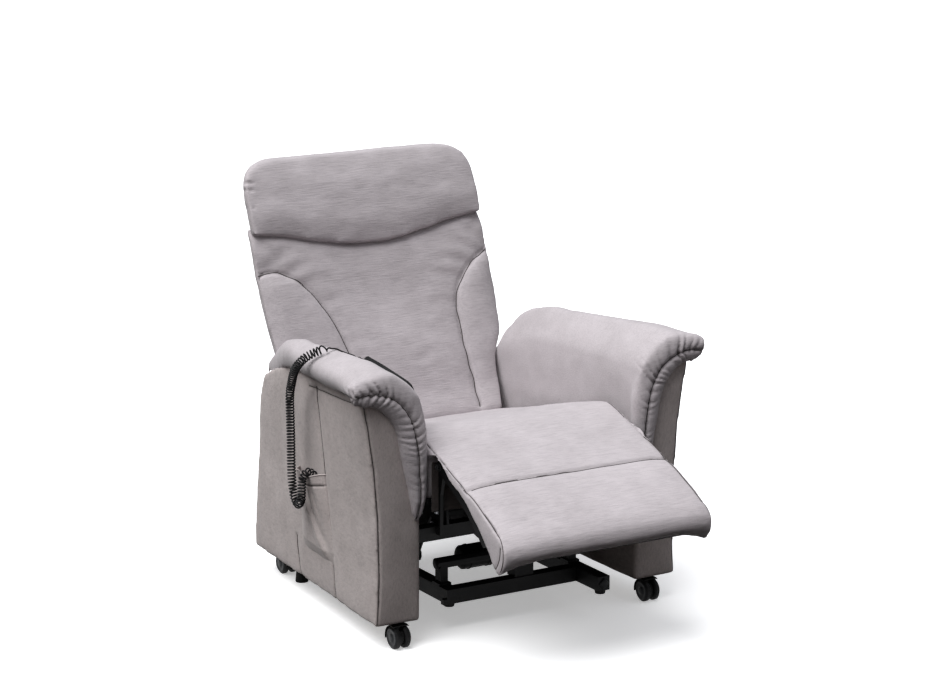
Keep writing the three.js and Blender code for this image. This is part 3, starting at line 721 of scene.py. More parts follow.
route = coiled_lead()
lead = tube("curly_lead_wire", [Vector(met(p)) for p in route], WIRE / 2000, None, M_CORD, 2)
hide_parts("handset_lead", "curly_lead")
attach(lead, "seat_frame")

# ------------------------------------------------------------------ backrest
LEAN = math.radians(22)
B_UP = np.array([0, math.sin(LEAN), math.cos(LEAN)])
B_OUT = np.array([0, -math.cos(LEAN), math.sin(LEAN)])
B_0 = np.array([0, 226.0, 400.0])


def back(x, s, n=0.0):
    return np.array([x, 0, 0]) + B_0 + B_UP * s + B_OUT * n


def back_coords(c):
    r = c - B_0
    return c[:, 0], r @ B_UP, r @ B_OUT


BACK_AXES = np.array([[1.0, 0, 0], B_UP, B_OUT])


def soft(name, node, voxel, inset, relaxing, pressure, cap, sub=1, extra=(), A=np.eye(3), lo=(0, 0, 0), hi=(0, 0, 0), axes=(0, 1, 2)):
    """A padded form from a node's solid: remeshed, rounded, filled by the cloth simulation (pressure 0: let out by cap) and fitted to its full size."""
    o = from_node(name, node)
    if extra:
        merge(o, *extra)
    box = box_in(o, A)
    remesh(o, voxel)
    if inset:
        push(o, -inset)
    relax(o, relaxing)
    if pressure:
        inflate(o, pressure, cap)
    else:
        push(o, cap)
    fit(o, box, A, lo, hi, axes)
    if sub:
        subdivide(o, sub)
    return o


def mirror_line(pts):
    return [(-x, *rest) for x, *rest in pts]


HEAD = curve_through([(-301, 407), (-262, 403), (-220, 396), (-160, 382), (-80, 366), (-40, 361), (0, 360), (40, 361), (80, 366), (160, 382), (220, 396), (262, 403), (301, 407)], 8)
BOLSTERS = {-1: [(-308, 306), (-284, 313), (-259, 312), (-228, 300), (-201, 281), (-178, 256), (-158, 225), (-140, 188), (-126, 150), (-115, 110), (-108, 70), (-104, 20), (-103, -40), (-103, -58)],
            1: [(306, 312), (284, 304), (262, 292), (240, 276), (218, 254), (200, 228), (189, 195), (184, 150), (185, 100), (190, 50), (193, 0), (196, -40), (197, -58)]}


def on_back(o, line, n_hint=-40):
    """The points (x, s) of a line, on the front surface of o, in millimetres."""
    tree = BVHTree.FromObject(o, bpy.context.evaluated_depsgraph_get())
    out = []
    for x, s in line:
        hit, _, _, _ = tree.ray_cast(Vector(met(back(x, s, 160))), Vector(-B_OUT))
        if hit is not None:
            q = mm(np.array(hit))
            if (q - B_0) @ B_OUT > n_hint:
                out.append(q)
    return np.array(out)


def crease(o, a, b, deep, wide=13.0, bow=6.0):
    """A soft crease in the back's fabric between two points (x, s), without stitching."""
    line = on_back(o, curve_through([a, ((a[0] + b[0]) / 2, (a[1] + b[1]) / 2 + bow), b], 6))
    if len(line) > 2:
        c = mm(coords(o))
        near = np.where(((c > line.min(0) - 40) & (c < line.max(0) + 40)).all(1))[0]
        d, w, _ = distance(c[near], resample(line, 5.0))
        total = max(1.0, w.max())
        fade = np.sin(np.pi * np.clip(w / total * 0.82 + 0.18, 0, 1)) ** 0.7
        cc, n = coords(o), normals(o)[near]
        amount = (-deep * np.exp(-((d / wide) ** 2)) + deep * 0.55 * np.exp(-(((d - wide * 1.7) / wide) ** 2))) * fade
        cc[near] += n * (amount / 1000)[:, None]
        set_coords(o, cc)


head = soft("headrest_pad", "headrest_cushion", 0.0075, 0.005, 20, 4.0, 0.010, A=BACK_AXES, lo=(2, 6, 0), hi=(2, 1, 3))
c = mm(coords(head))
x, s, n = back_coords(c)
seam_s = np.interp(x, HEAD[:, 0], HEAD[:, 1])
front = np.clip((n + 30) / 40.0, 0, 1)
n2 = n + front * (5 * np.exp(-(((s - seam_s - 40) / 36.0) ** 2)) - 7 * np.clip((s - 500) / 80, 0, 1) ** 1.5)
low = np.clip((seam_s + 45 - s) / 45.0, 0, 1)
s2 = s - low * 5 * np.clip((np.abs(x) - 60) / 200, 0, 1)
set_coords(head, met(np.outer(x, [1, 0, 0]) + B_0 + np.outer(s2, B_UP) + np.outer(n2, B_OUT)))
for s0, ln, deep in [(528, 21, 3.6), (511, 16, 3.2), (470, 10, 2.0)]:
    line = curve_through([tuple(back(-303, s0 + 3, -40)), tuple(back(-301, s0 - 1, -14)), tuple(back(-296, s0 - 4, 6)), tuple(back(-300 + ln, s0 - 8, 18))], 6)
    seam(head, line, deep=deep, wide=4.2, dark=0.18, painted_shade_wide=2.6, snap=0)
wrinkle(head, 2.0, (6, 6, 9), 3.3)
wrinkle(head, 0.8, (22, 22, 40), 5.3)
add_soft(head, "headrest_cushion", "backrest")

# the pad's cloth goes on down behind the seat
TUCK = [(-10, -50), (-75, -44), (-90, -36), (-92, -25), (-76, -11), (-60, 4), (-44, 9), (-10, 4)]
tuck = prism("tuck", [[back(x * (1.0 if s > -60 else 0.97), s, n) for s, n in TUCK] for x in np.linspace(-246, 246, 9)])
pad = soft("back_pad", "back_cushion", 0.0075, 0.005, 14, 4.0, 0.008, extra=[tuck], A=BACK_AXES, lo=(0, 2, 0), hi=(0, 2, 5))
c = mm(coords(pad))
x, s, n = back_coords(c)
seam_s = np.interp(x, HEAD[:, 0], HEAD[:, 1])
high = np.clip((s - seam_s + 40) / 40.0, 0, 1)
s2 = s + high * (7 + 4 * np.clip((np.abs(x) - 60) / 200, 0, 1))
s2 -= 12 * np.clip((50 - s) / 80, 0, 1) * np.clip((n + 45) / 40, 0, 1)
x = x * (1 + 0.038 * np.clip((95 - s) / 50, 0, 1) * np.clip((np.abs(x) - 120) / 100, 0, 1))
bl = np.array(BOLSTERS[-1], float)
br = np.array(BOLSTERS[1], float)
edge = np.where(x < 0, np.interp(s2, bl[::-1, 1], -bl[::-1, 0]), np.interp(s2, br[::-1, 1], br[::-1, 0]))
front = np.clip((n + 34) / 30.0, 0, 1)
inside = np.abs(x) - edge
# bolsters stand a little proud of the hollow between them, and the lumbar part fills out
shape = 11 * (1 - np.exp(-np.clip(inside, 0, None) / 20.0)) * np.clip((330 - s2) / 50, 0, 1) * np.clip((304 - np.abs(x)) / 40, 0, 1) ** 0.5
shape -= 6 * np.exp(-((x / 150.0) ** 2)) * np.exp(-(((s2 - 245) / 95.0) ** 2))
shape += 7 * np.exp(-((x / 120.0) ** 2)) * np.exp(-(((s2 - 90) / 90.0) ** 2))
shape -= 10 * np.clip((s2 - seam_s + 30) / 34, 0, 1) ** 2
set_coords(pad, met(np.outer(x, [1, 0, 0]) + B_0 + np.outer(s2, B_UP) + np.outer(n + front * shape, B_OUT)))
for side, nm in ((-1, "left"), (1, "right")):
    line = on_back(pad, curve_through(BOLSTERS[side], 8))
    seam(pad, line, deep=3.2, wide=4.2, soft=4.0, soft_wide=22, dark=0.36, painted_shade_wide=2.4, facing=B_OUT)
    stitch("back_seam_" + nm, pad, line, "backrest", 0.9)
for a, b, deep in [((-292, 322), (-196, 366), 3.0), ((-270, 318), (-205, 345), 2.4), ((-236, 306), (-165, 318), 2.6), ((-196, 276), (-120, 284), 2.0), ((-160, 226), (-95, 228), 1.6),
                   ((292, 322), (232, 372), 2.8), ((276, 306), (200, 342), 3.0), ((244, 280), (160, 300), 2.6), ((214, 250), (130, 262), 2.2), ((190, 190), (110, 196), 1.6),
                   ((-296, 385), (-250, 350), 2.2), ((297, 392), (262, 352), 2.4), ((-120, 130), (-40, 118), 1.4), ((60, 70), (150, 84), 1.4)]:
    crease(pad, a, b, deep * 0.62)
wrinkle(pad, 2.2, (5, 5, 8), 1.7)
wrinkle(pad, 0.8, (22, 22, 40), 7.7)
add_soft(pad, "back_cushion", "backrest")
lay_threads(pad)

rear = soft("back_rear_panel", "back_rear_cover", 0.008, 0.003, 6, 3.0, 0.006, A=BACK_AXES)
for xx in (-150, 150):
    line = [back(xx, t, -125) for t in range(-30, 566, 15)]
    seam(rear, line, deep=2.4, wide=4.0, dark=0.4, facing=-B_OUT)
    stitch("rear_seam_%d" % (xx > 0), rear, line, "backrest", 0.8)
seam(rear, [back(xx, 40, -126) for xx in range(-215, 216, 10)], deep=2.4, wide=4.2, dark=0.4, facing=-B_OUT)
stitch("rear_seam_low", rear, [back(xx, 40, -126) for xx in range(-215, 216, 10)], "backrest", 0.8)
wrinkle(rear, 3.0, (5, 5, 9), 9.1)
add_soft(rear, "back_rear_cover", "backrest", M_SIDE_SHADED)
lay_threads(rear)

# ------------------------------------------------------------------ seat and footrest: one long pad that bends at the knee
FP = np.array([-368.0, 397.0])
FD = np.array([-112.0, -54.0]) / np.linalg.norm([-112, -54])
FN = np.array([FD[1], -FD[0]])


def foot(x, s, h):
    q = FP + FD * s + FN * h
    return np.array([x, q[0], q[1]])


def foot_coords(c):
    r = c[:, 1:] - FP
    return c[:, 0], r @ FD, r @ FN


SEAT_TOP = [(203, 296), (199, 326), (180, 344), (110, 363), (0, 391), (-120, 423), (-200, 445), (-240, 454), (-268, 458), (-292, 453.5), (-320, 445.5), (-352, 435.5)]
FOOT_TOP = [(0, 31), (40, 34.5), (80, 37), (119, 39), (160, 40.5), (230, 40.5), (275, 38.5), (300, 32), (314, 18), (319, -2), (314, -24), (303, -38)]
FOOT_LOW = [(288, -37), (240, -20), (200, -7), (160, 3), (128, 10.5), (95, 12), (60, 9.5)]
SEAT_LOW = [(-386, 411.5), (-368, 418.5), (-352, 420), (-344, 412), (-339.5, 400), (-339, 330), (-336, 319.5), (203, 227.5)]


def chaise_ring(x):
    e = abs(x) / 257
    wide = 254.5 / 257
    ring = [(x * 252 / 257, y, z) for y, z in SEAT_TOP]
    for s, h in FOOT_TOP + FOOT_LOW:
        far = np.clip((s - 205) / 95, 0, 1)
        # the front hem is drawn up between its two corners
        low = far * np.clip((22 - h) / 34, 0, 1)
        ring.append(tuple(foot(x, s + far * 3 * (1 - e ** 2), h + low * (21 * (1 - e ** 5) - 2 * e ** 5) - far * 6 * e ** 6)))
    ring += [(x * wide, y, z) for y, z in SEAT_LOW[:3]] + [(x * 252 / 257, y, z) for y, z in SEAT_LOW[3:]]
    return ring


chaise = prism("seat_and_footrest_pad", [chaise_ring(257 * math.sin(t * math.pi / 2)) for t in np.linspace(-1, 1, 41)])
whole = box_in(chaise)
remesh(chaise, 0.0065)
push(chaise, -0.002)
relax(chaise, 7)
inflate(chaise, 4.0, 0.006)
fit(chaise, whole, hi=(1, 0, 0), lo=(1, 1, 0), axes=(0, 1))
subdivide(chaise, 1)
c = mm(coords(chaise))
x, s, h = foot_coords(c)
e = np.clip(np.abs(x) / 257, 0, 1)
up = np.clip(normals(chaise)[:, 2] * 1.6, 0, 1)
# what the filling adds to the thin stretch over the knee comes off again
c[:, 2] -= up * 4.0 * np.exp(-(((c[:, 1] + 380) / 75.0) ** 2))
c[:, 2] += up * 3.0 * (1 - e ** 2) * np.clip((s - 120) / 60, 0, 1) - up * 3.0 * np.clip((c[:, 1] + 200) / 80, 0, 1)
set_coords(chaise, met(c))


def drop_on(o, pts):
    """Points of a line brought straight down onto the top of o."""
    tree = BVHTree.FromObject(o, bpy.context.evaluated_depsgraph_get())
    out = []
    for p in pts:
        hit, _, _, _ = tree.ray_cast(Vector(met(np.array([p[0], p[1], 700.0]))), Vector((0, 0, -1)))
        if hit is not None:
            out.append(mm(np.array(hit)))
    return np.array(out)


knee_seam = drop_on(chaise, [foot(xx, 119.5, 39) for xx in np.linspace(-250, 250, 101)])
seam(chaise, knee_seam, deep=3.2, wide=4.0, soft=2.6, soft_wide=16, dark=0.34, facing=(0, -0.35, 0.94))
stitch("footrest_cross_seam", chaise, knee_seam, "footrest", 0.65)
for side, nm in ((-1, "left"), (1, "right")):
    edge = drop_on(chaise, [(side * 246.5, y, 0) for y in np.linspace(180, -335, 60)] + [tuple(foot(side * xx, sv, 0)) for sv, xx in zip(np.linspace(-2, 288, 36), np.linspace(247, 251, 36))])
    seat_part = edge[edge[:, 1] > -345]
    foot_part = edge[edge[:, 1] < -405]
    corner = [tuple(foot(side * 251, sv, hv)) for sv, hv in [(300, 24), (309, 12), (313, -4), (310, -20), (304, -34), (299, -40)]]
    seam(chaise, edge, deep=2.2, wide=3.2, dark=0.4)
    stitch("seat_edge_seam_" + nm, chaise, seat_part, "seat_frame", 0.8)
    stitch("footrest_edge_seam_" + nm, chaise, np.vstack([foot_part, curve_through(corner, 6)]), "footrest", 0.8)
    inner = curve_through([tuple(foot(side * 257, sv, hv)) for sv, hv in [(290, 24), (297, 8), (299, -10), (296, -26), (291, -38)]], 6)
    seam(chaise, inner, deep=1.8, wide=3.0, dark=0.4)
    stitch("footrest_corner_seam_" + nm, chaise, inner, "footrest", 0.8)
wrinkle(chaise, 2.2, (7, 7, 7), 5.2)
wrinkle(chaise, 0.7, (24, 24, 24), 8.2)
paint(chaise, M_FABRIC)
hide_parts("seat_cushion", "footrest_bridge", "footrest_cushion")
lay_threads(chaise)
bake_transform(chaise)

# lining below the seat's front edge
front_panel = from_node("seat_front_lining", "seat_front_panel")
remesh(front_panel, 0.004)
relax(front_panel, 2)
wrinkle(front_panel, 2.0, (14, 14, 6), 4.4)
seam(front_panel, [(xx, -346, 302) for xx in range(-240, 241, 12)], deep=0.9, wide=2.5, dark=0.5)
add_soft(front_panel, "seat_front_panel", "seat_frame", M_LINING)

# ------------------------------------------------------------------ arms
ARM_SPLAY, ARM_FLARE = 50, 29


def outer_x(y, z):
    d = (y + 347) / 679
    return 375 - ARM_SPLAY * d + ARM_FLARE * ((z - 57) / 488) * (1 - 1.2 * np.maximum(0, d))


ROLL = [(440, 575), (415, 580), (380, 578), (348, 564), (323, 540), (307, 512), (298, 478), (294, 437), (289, 390), (285, 340), (286, 300), (288, 277)]
ROLL_HALF = [24, 31, 37, 40, 41, 39, 36, 33, 29, 23, 15, 6]
ROLL_SEAM = [(432, 572), (405, 577), (378, 574), (350, 562), (330, 548), (310, 523), (298, 490), (289, 437), (284, 380), (281.5, 330), (284.5, 296), (287, 280)]


def front_roll(side):
    """The soft welt round the front of the arm pad, down to its point."""
    path = curve_through(ROLL, 5)
    d = np.r_[0, np.cumsum(np.linalg.norm(np.diff(path, axis=0), axis=1))]
    knots = d[::5]
    rings = []
    tan = np.gradient(path, axis=0)
    tan /= np.linalg.norm(tan, axis=1, keepdims=True)
    for i, p in enumerate(path):
        a = float(np.interp(d[i], knots, ROLL_HALF))
        b = min(a, 20.0)
        nrm = np.array([-tan[i][1], tan[i][0]])
        ring = []
        for k in range(16):
            t = 2 * math.pi * k / 16
            q = p + nrm * a * math.cos(t)
            ring.append((side * q[0], -347 - b * math.sin(t), float(lift(-347, q[1])) if q[1] > 430 else q[1]))
        rings.append(ring)
    return prism("roll", rings)


def shoulder(side):
    """The pad's rear inner shoulder, up to the front of the backrest's wing."""
    rings = []
    for y, low, cap in [(188, 392, 700), (206, 396, 700), (224, 398, 700), (238, 400, 700), (245, 402, 474), (259, 404, 464)]:
        ring = [(334, low), (272, low)] + [(a, min(cap + i, float(lift(y, z)))) for i, (a, z) in enumerate([(271.5, 470), (273, 515), (278, 549), (290, 573), (307, 590), (334, 606)])]
        rings.append([(side * a, y, b) for a, b in ring])
    return prism("shoulder", rings)


def from_side(tree, side, pts):
    res = []
    for y, z in pts:
        hit, _, _, _ = tree.ray_cast(Vector(met(np.array([side * 520, y, z]))), Vector((-side, 0, 0)))
        if hit is not None:
            res.append(mm(np.array(hit)))
    return np.array(res)


def pad_shape(side):
    name = "left" if side < 0 else "right"
    o = soft("arm_roll_" + name, "arm_pad_" + name, 0.006, 0.0025, 14, 0, 0.0021, 1, extra=[front_roll(side), shoulder(side)], hi=(0, 0, 1), axes=(0, 1, 2))
    c = mm(coords(o))
    ax = np.abs(c[:, 0])
    # the roll ends in a full round end short of the side panel's rear edge
    lip = lift(c[:, 1], 548.0)
    crest = lift(c[:, 1], 618.0)
    c[:, 2] += 17 * np.clip((c[:, 1] - 40) / 130, 0, 1) * np.clip((c[:, 2] - lip) / (crest - lip), 0, 1)
    c[:, 1] -= 66 * np.clip((ax - 300) / 50, 0, 1) * np.clip((c[:, 1] - 110) / 178, 0, 1) ** 0.9
    set_coords(o, met(c))
    relax(o, 6)
    c = mm(coords(o))
    ax = np.abs(c[:, 0])
    rear_end = np.clip((c[:, 1] - 120) / 50, 0, 1) * np.clip((ax - 285) / 25, 0, 1)
    relax_where(o, rear_end, 34)
    front_top = np.clip((-262 - c[:, 1]) / 40, 0, 1) * np.clip((c[:, 2] - lift(c[:, 1], 560.0)) / 20, 0, 1) * np.clip((414 - ax) / 26, 0, 1)
    relax_where(o, front_top, 150)
    tree = BVHTree.FromObject(o, bpy.context.evaluated_depsgraph_get())
    line = []
    for a, b in curve_through(ROLL_SEAM, 6):
        z = float(lift(-347, b)) if b > 430 else b
        hit, _, _, _ = tree.ray_cast(Vector(met(np.array([side * a, -460, z]))), Vector((0, 1, 0)))
        if hit is not None:
            q = mm(np.array(hit))
            if q[1] < -325:
                line.append(q)
    line = np.array(line)
    # the seam goes on round the outer corner and away under the roll
    tail = from_side(tree, side, [(y, float(lift(y, z))) for y, z in curve_through([(-343, 571), (-325, 567), (-300, 561), (-268, 556.5), (-235, 554.5)], 5)])
    full = np.vstack([tail[::-1], line]) if len(tail) else line
    seam(o, full, deep=3.4, wide=3.8, soft=3.2, soft_wide=10, dark=0.5, painted_shade_wide=2.6)
    start = float(np.linalg.norm(np.diff(tail, axis=0), axis=1).sum()) if len(tail) > 1 else 0.0
    seam(o, full, deep=0.0, wide=3.0, dark=0.0, gather=7.5, pitch=17.5, reach=26, snap=0, seed=side, spots=[(start - 6, 34, 1.35), (start + 78, 30, 1.15), (start + 165, 60, 0.6), (start + 300, 70, 0.2)])
    stitch("arm_roll_seam_" + name, o, full, "seat_frame", 0.9)
    wrinkle(o, 2.6, (8, 6, 8), 6.1 + side)
    wrinkle(o, 0.8, (26, 22, 26), 3.1 + side)
    add_soft(o, "arm_pad_" + name, "seat_frame")
    lay_threads(o)
    return o


BOW = [(57, 6), (165, -6), (296, -11), (406, -9), (500, 0), (545, 6)]


def cover_shape(side):
    name = "left" if side < 0 else "right"
    o = from_node("arm_panel_" + name, "arm_cover_" + name)
    box = box_in(o)
    remesh(o, 0.0055)
    relax(o, 5)
    inflate(o, 2.0, 0.003, 8, 30.0, 3.0)
    fit(o, box)
    subdivide(o, 1)
    c = mm(coords(o))
    ax = np.abs(c[:, 0])
    w = np.clip((ax - 330) / 40, 0, 1) * np.clip((-100 - c[:, 1]) / 247, 0, 1)
    c[:, 0] += side * w * np.interp(c[:, 2], [a for a, _ in BOW], [b for _, b in BOW])
    # the rear top corner is rounded off
    c[:, 1] -= 18 * np.clip((c[:, 2] - 370) / 120, 0, 1) ** 1.6 * np.clip((c[:, 1] - 150) / 130, 0, 1) ** 1.3
    set_coords(o, met(c))
    tree = BVHTree.FromObject(o, bpy.context.evaluated_depsgraph_get())
    lines = {"side": curve_through([(-62, 520), (-67, 500), (-93, 365), (-107, 233), (-122, 148), (-128, 59)], 12), "short": np.array([(78, 150), (78, 132), (72, 100), (66, 60)]),
             "band": curve_through([(-20, 515), (-106, 521), (-237, 532), (-340, 545)], 10)}
    for key, line in lines.items():
        q = from_side(tree, side, line)
        if len(q) > 2:
            seam(o, q, deep=2.6, wide=3.8, soft=1.4, soft_wide=14, dark=0.42)
            stitch("arm_%s_seam_%s" % (key, name), o, q, "seat_frame", 0.85)
    corner = [(side * (float(outer_x(-347, z)) - 2 + float(np.interp(z, [a for a, _ in BOW], [b for _, b in BOW]))), -344, z) for z in range(62, 545, 12)]
    seam(o, corner, deep=2.6, wide=3.8, dark=0.42)
    stitch("arm_corner_seam_" + name, o, corner, "seat_frame", 0.9)
    rear_line = [(side * (float(outer_x(330, z)) - 2), 332 - 52 * (z - 57) / 500 - 3 - 18 * max(0.0, (z - 370) / 120) ** 1.6, z) for z in range(62, 460, 12)]
    seam(o, rear_line, deep=2.0, wide=3.4, dark=0.4)
    stitch("arm_rear_seam_" + name, o, rear_line, "seat_frame", 0.8)
    wrinkle(o, 2.4, (5, 5, 4), 2.9 + side)
    wrinkle(o, 0.9, (17, 17, 10), 12.9 + side)
    add_soft(o, "arm_cover_" + name, "seat_frame", M_SIDE_SHADED)
    lay_threads(o)
    return o


covers = {side: cover_shape(side) for side in (-1, 1)}
rolls = {side: pad_shape(side) for side in (-1, 1)}

# ------------------------------------------------------------------ side pocket: a sewn bag of one curved sheet
PY0, PY1, PLEAN, PZ0, PZ1 = -140, 46, 37, 134, 335


def pocket():
    nu, nv = 70, 84
    verts = []
    for j in range(nv + 1):
        v = j / nv
        z = PZ0 + (PZ1 - PZ0) * v
        y0 = PY0 + PLEAN * v
        for i in range(nu + 1):
            u = i / nu
            y = y0 + (PY1 - y0) * u
            # the mouth sags open between its two sewn ends
            sag = (15 * math.exp(-(((u - 0.42) / 0.30) ** 2)) - 15 * math.exp(-((0.42 / 0.30) ** 2)) * (1 - u)) * v ** 3
            base = float(outer_x(y, z))
            belly = math.sin(math.pi * min(1, max(0, u))) ** 0.55 * min(1, (v / 0.14)) ** 0.6
            out = 1.4 + belly * (12 + 18 * v ** 1.4)
            # folds: one falls from the mouth's rear to the lower front corner, others from the mouth
            f1 = u - (0.80 - 0.62 * (1 - v))
            out += belly * (4.2 * math.exp(-((f1 / 0.08) ** 2)) - 4.0 * math.exp(-(((f1 + 0.13) / 0.07) ** 2))) * min(1, v * 4)
            f2 = u - (0.45 - 0.25 * (1 - v))
            out += belly * (2.5 * math.exp(-((f2 / 0.06) ** 2)) - 4.0 * math.exp(-(((f2 + 0.10) / 0.05) ** 2))) * v
            out += 2.2 * belly * noise.noise(Vector((u * 4, v * 3, 1.5)))
            out -= 1.6 * math.exp(-(((z - (PZ1 - 24)) / 2.6) ** 2)) * (belly > 0.05)
            out = max(0.9, out)
            verts.append(met(np.array([-(base + out), y, z - max(0, sag) - 18 * u ** 2 * v ** 3])))
    faces = []
    for j in range(nv):
        for i in range(nu):
            a = j * (nu + 1) + i
            faces.append((a, a + nu + 1, a + nu + 2, a + 1))
    o = new_object("pocket_bag", verts, faces, M_SIDE_SHADED)
    grid = np.array(verts).reshape(nv + 1, nu + 1, 3)
    du = np.linalg.norm(np.diff(grid, axis=1), axis=2).sum(1)
    dv = np.linalg.norm(np.diff(grid, axis=0), axis=2).sum(0)
    e1 = grid[1:, :-1] - grid[:-1, :-1]
    e2 = grid[:-1, 1:] - grid[:-1, :-1]
    area = float(np.linalg.norm(np.cross(e1, e2), axis=2).sum())
    m = o.modifiers.new("thick", "SOLIDIFY")
    m.thickness = 0.0022
    m.offset = -1
    bake(o)
    subdivide(o, 1)
    hem_line, rim = [], []
    for i in range(nu + 1):
        for store, v in ((hem_line, (PZ1 - 24 - PZ0) / (PZ1 - PZ0)), (rim, 1.0)):
            j = v * nv
            j0 = min(nv - 1, int(j))
            store.append(mm(grid[j0, i] * (1 - (j - j0)) + grid[j0 + 1, i] * (j - j0)))
    # painted shade along the hem and round the bag's sewn border, where it meets the panel
    seam(o, hem_line, deep=0.5, wide=2.0, dark=0.45, painted_shade_wide=2.0, snap=0)
    border = [mm(grid[j, 0]) for j in range(nv, -1, -1)] + [mm(grid[0, i]) for i in range(nu + 1)] + [mm(grid[j, nu]) for j in range(nv + 1)]
    seam(o, border, deep=0.0, wide=2.0, dark=0.5, painted_shade_wide=3.0, snap=0)
    paint(o, M_SIDE_SHADED)
    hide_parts("side_pocket")
    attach(o, "seat_frame")
    stitch("pocket_hem", o, hem_line[3:-3], "seat_frame", 0.75)
    stitch("pocket_border", o, border, "seat_frame", 0.9)
    lay_threads(o)
    roll = tube("pocket_mouth_roll", [Vector(met(p + np.array([1.0, 0, 0]))) for p in rim], 0.0019, "seat_frame", M_SIDE_SHADED, 3)
    return o, area, (round(float(du.mean()), 3), round(float(dv.mean()), 3))


bag, bag_area, bag_flat = pocket()

# ------------------------------------------------------------------ metalwork and plastic: edges, fasteners, details
for node, o in frame["nodes"].items():
    if SLOT_OF[node] in ("black_steel", "motor_plastic", "black_plastic", "key_plastic", "plywood", "tread", "rod_steel"):
        m = o.modifiers.new("edge", "BEVEL")
        m.width = 0.0022 if node in ("handset_shell", "control_box") or node.startswith("caster_wheels") else 0.0009
        m.segments = 3 if m.width > 0.001 else 2
        m.limit_method = "ANGLE"
        m.angle_limit = math.radians(38)
        o.data.shade_smooth()
        w = o.modifiers.new("shade", "WEIGHTED_NORMAL")
        w.keep_sharp = True


def lathe(name, profile, at, axis, mat, body, n=24, squares=False):
    """profile: (distance along the axis, radius) pairs in millimetres, from a point at `at`."""
    axis = Vector(axis).normalized()
    q = Vector((0, 0, 1)).rotation_difference(axis)
    verts, faces = [], []
    for a, r in profile:
        for i in range(n):
            t = 2 * math.pi * i / n
            v = Vector((r * math.cos(t), r * math.sin(t), a))
            v.rotate(q)
            verts.append(P(*at) + v / 1000)
    k = len(profile)
    for i in range(k - 1):
        for j in range(n):
            a, b = i * n + j, i * n + (j + 1) % n
            faces.append((a, b, b + n, a + n))
    faces.append(tuple(range(n - 1, -1, -1)))
    faces.append(tuple((k - 1) * n + j for j in range(n)))
    o = new_object(name, verts, faces, mat)
    o.data.shade_auto_smooth(use_auto_smooth=True, angle=math.radians(35)) if hasattr(o.data, "shade_auto_smooth") else None
    if squares:
        o.data.shade_flat()
    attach(o, body)
    return o


def bolt(name, at, axis, body, r=8.0, mat=None):
    """A washer and a domed hexagon nut."""
    mat = mat or M_ZINC
    lathe(name + "_washer", [(0, r * 1.35), (1.4, r * 1.35), (1.7, r * 1.2)], at, axis, mat, body, 24)
    lathe(name + "_nut", [(1.6, r), (6.4, r), (7.2, r * 0.86)], at, axis, mat, body, 6, True)
    lathe(name + "_end", [(7.1, r * 0.55), (9.5, r * 0.52), (10.2, r * 0.4)], at, axis, mat, body, 16)


for side, nm in ((-1, "left"), (1, "right")):
    bolt("lift_pivot_" + nm, (side * 195.2, 150, 118), (side, 0, 0), "base_frame", 7.5)
    bolt("seat_pivot_" + nm, (side * 205.2, -180, 150), (side, 0, 0), "lift_arms", 7.5)
    bolt("back_pivot_" + nm, (side * 206.2, 268, 330), (side, 0, 0), "backrest", 7.0)
    bolt("foot_pivot_" + nm, (side * 241.2, -368, 397), (side, 0, 0), "seat_frame", 6.5, M_BLACK)
    for k, (yy, zz) in enumerate([(-300, 276), (40, 226), (150, 206)]):
        bolt("rail_bolt_%s_%d" % (nm, k), (side * 203.2, yy, zz), (side, 0, 0), "seat_frame", 4.6)
    lathe("rail_cap_rear_" + nm, [(0, 13), (2.2, 13), (3.2, 11.5)], (side * 165, 262, 79), (0, 1, 0), M_BLACK, "base_frame", 4)
    lathe("rest_tube_cap_" + nm, [(0, 12.6), (2.0, 12.6), (3.2, 10.5)], (side * 178, -246, 142), (side, 0, 0), M_BLACK, "base_frame", 20)
lathe("rail_cap_front_right", [(0, 13), (2.2, 13), (3.2, 11.5)], (165, -385, 79), (0, -1, 0), M_BLACK, "base_frame", 4)
for y, z, x, body, nm in ((-270, 112, 17, "lift_drive", "lift"), (-150, 200, -110, "recline_drive", "recline")):
    for side in (-1, 1):
        lathe("drive_pin_%s_%d" % (nm, side > 0), [(0, 6.5), (5, 6.5), (6.2, 5)], (x + side * 18, y, z), (side, 0, 0), M_ZINC, body, 16)


def drive_details(nm, x, p, q, side, body, tube_end):
    """Ribs and a cap on the motor, a collar at the tube's mouth and screws on the gear housing."""
    p, q = np.array(p, float), np.array(q, float)
    d = (q - p) / np.linalg.norm(q - p)
    m = p + d * 76
    for k, s0 in enumerate((34, 42, 88)):
        lathe("%s_motor_rib_%d" % (nm, k), [(0, 27.4), (0.8, 28.4), (2.6, 28.4), (3.4, 27.4)], (x + side * s0, *m), (side, 0, 0), M_MOTOR, body, 28)
    lathe(nm + "_motor_cap", [(0, 26), (3, 24.5), (5, 20), (6, 8)], (x + side * 103.5, *m), (side, 0, 0), M_MOTOR, body, 28)
    e = p + d * (tube_end - 14)
    lathe(nm + "_tube_collar", [(0, 15.2), (1, 17), (12, 17), (13.6, 15.6)], (x, *e), (0, *d), M_BLACK, body, 24)
    f = p + d * 109
    if nm == "lift":
        lathe(nm + "_tube_flange", [(0, 20), (5, 20), (7, 16)], (x, *f), (0, *d), M_MOTOR, body, 24)
    up = np.array([-d[1], d[0]])
    for k, (a, b) in enumerate([(-26, -15), (26, -15), (-26, 15), (26, 15)]):
        r = m + d * a + up * b
        lathe("%s_gear_screw_%d" % (nm, k), [(0, 3.4), (1.2, 3.2), (1.6, 2.2)], (x - side * 19, *r), (-side, 0, 0), M_ZINC, body, 12)


drive_details("lift", 17, (-270, 112), (118, 200), -1, "lift_drive", 330)
drive_details("recline", -110, (-150, 200), (256, 192), 1, "recline_drive", 300)

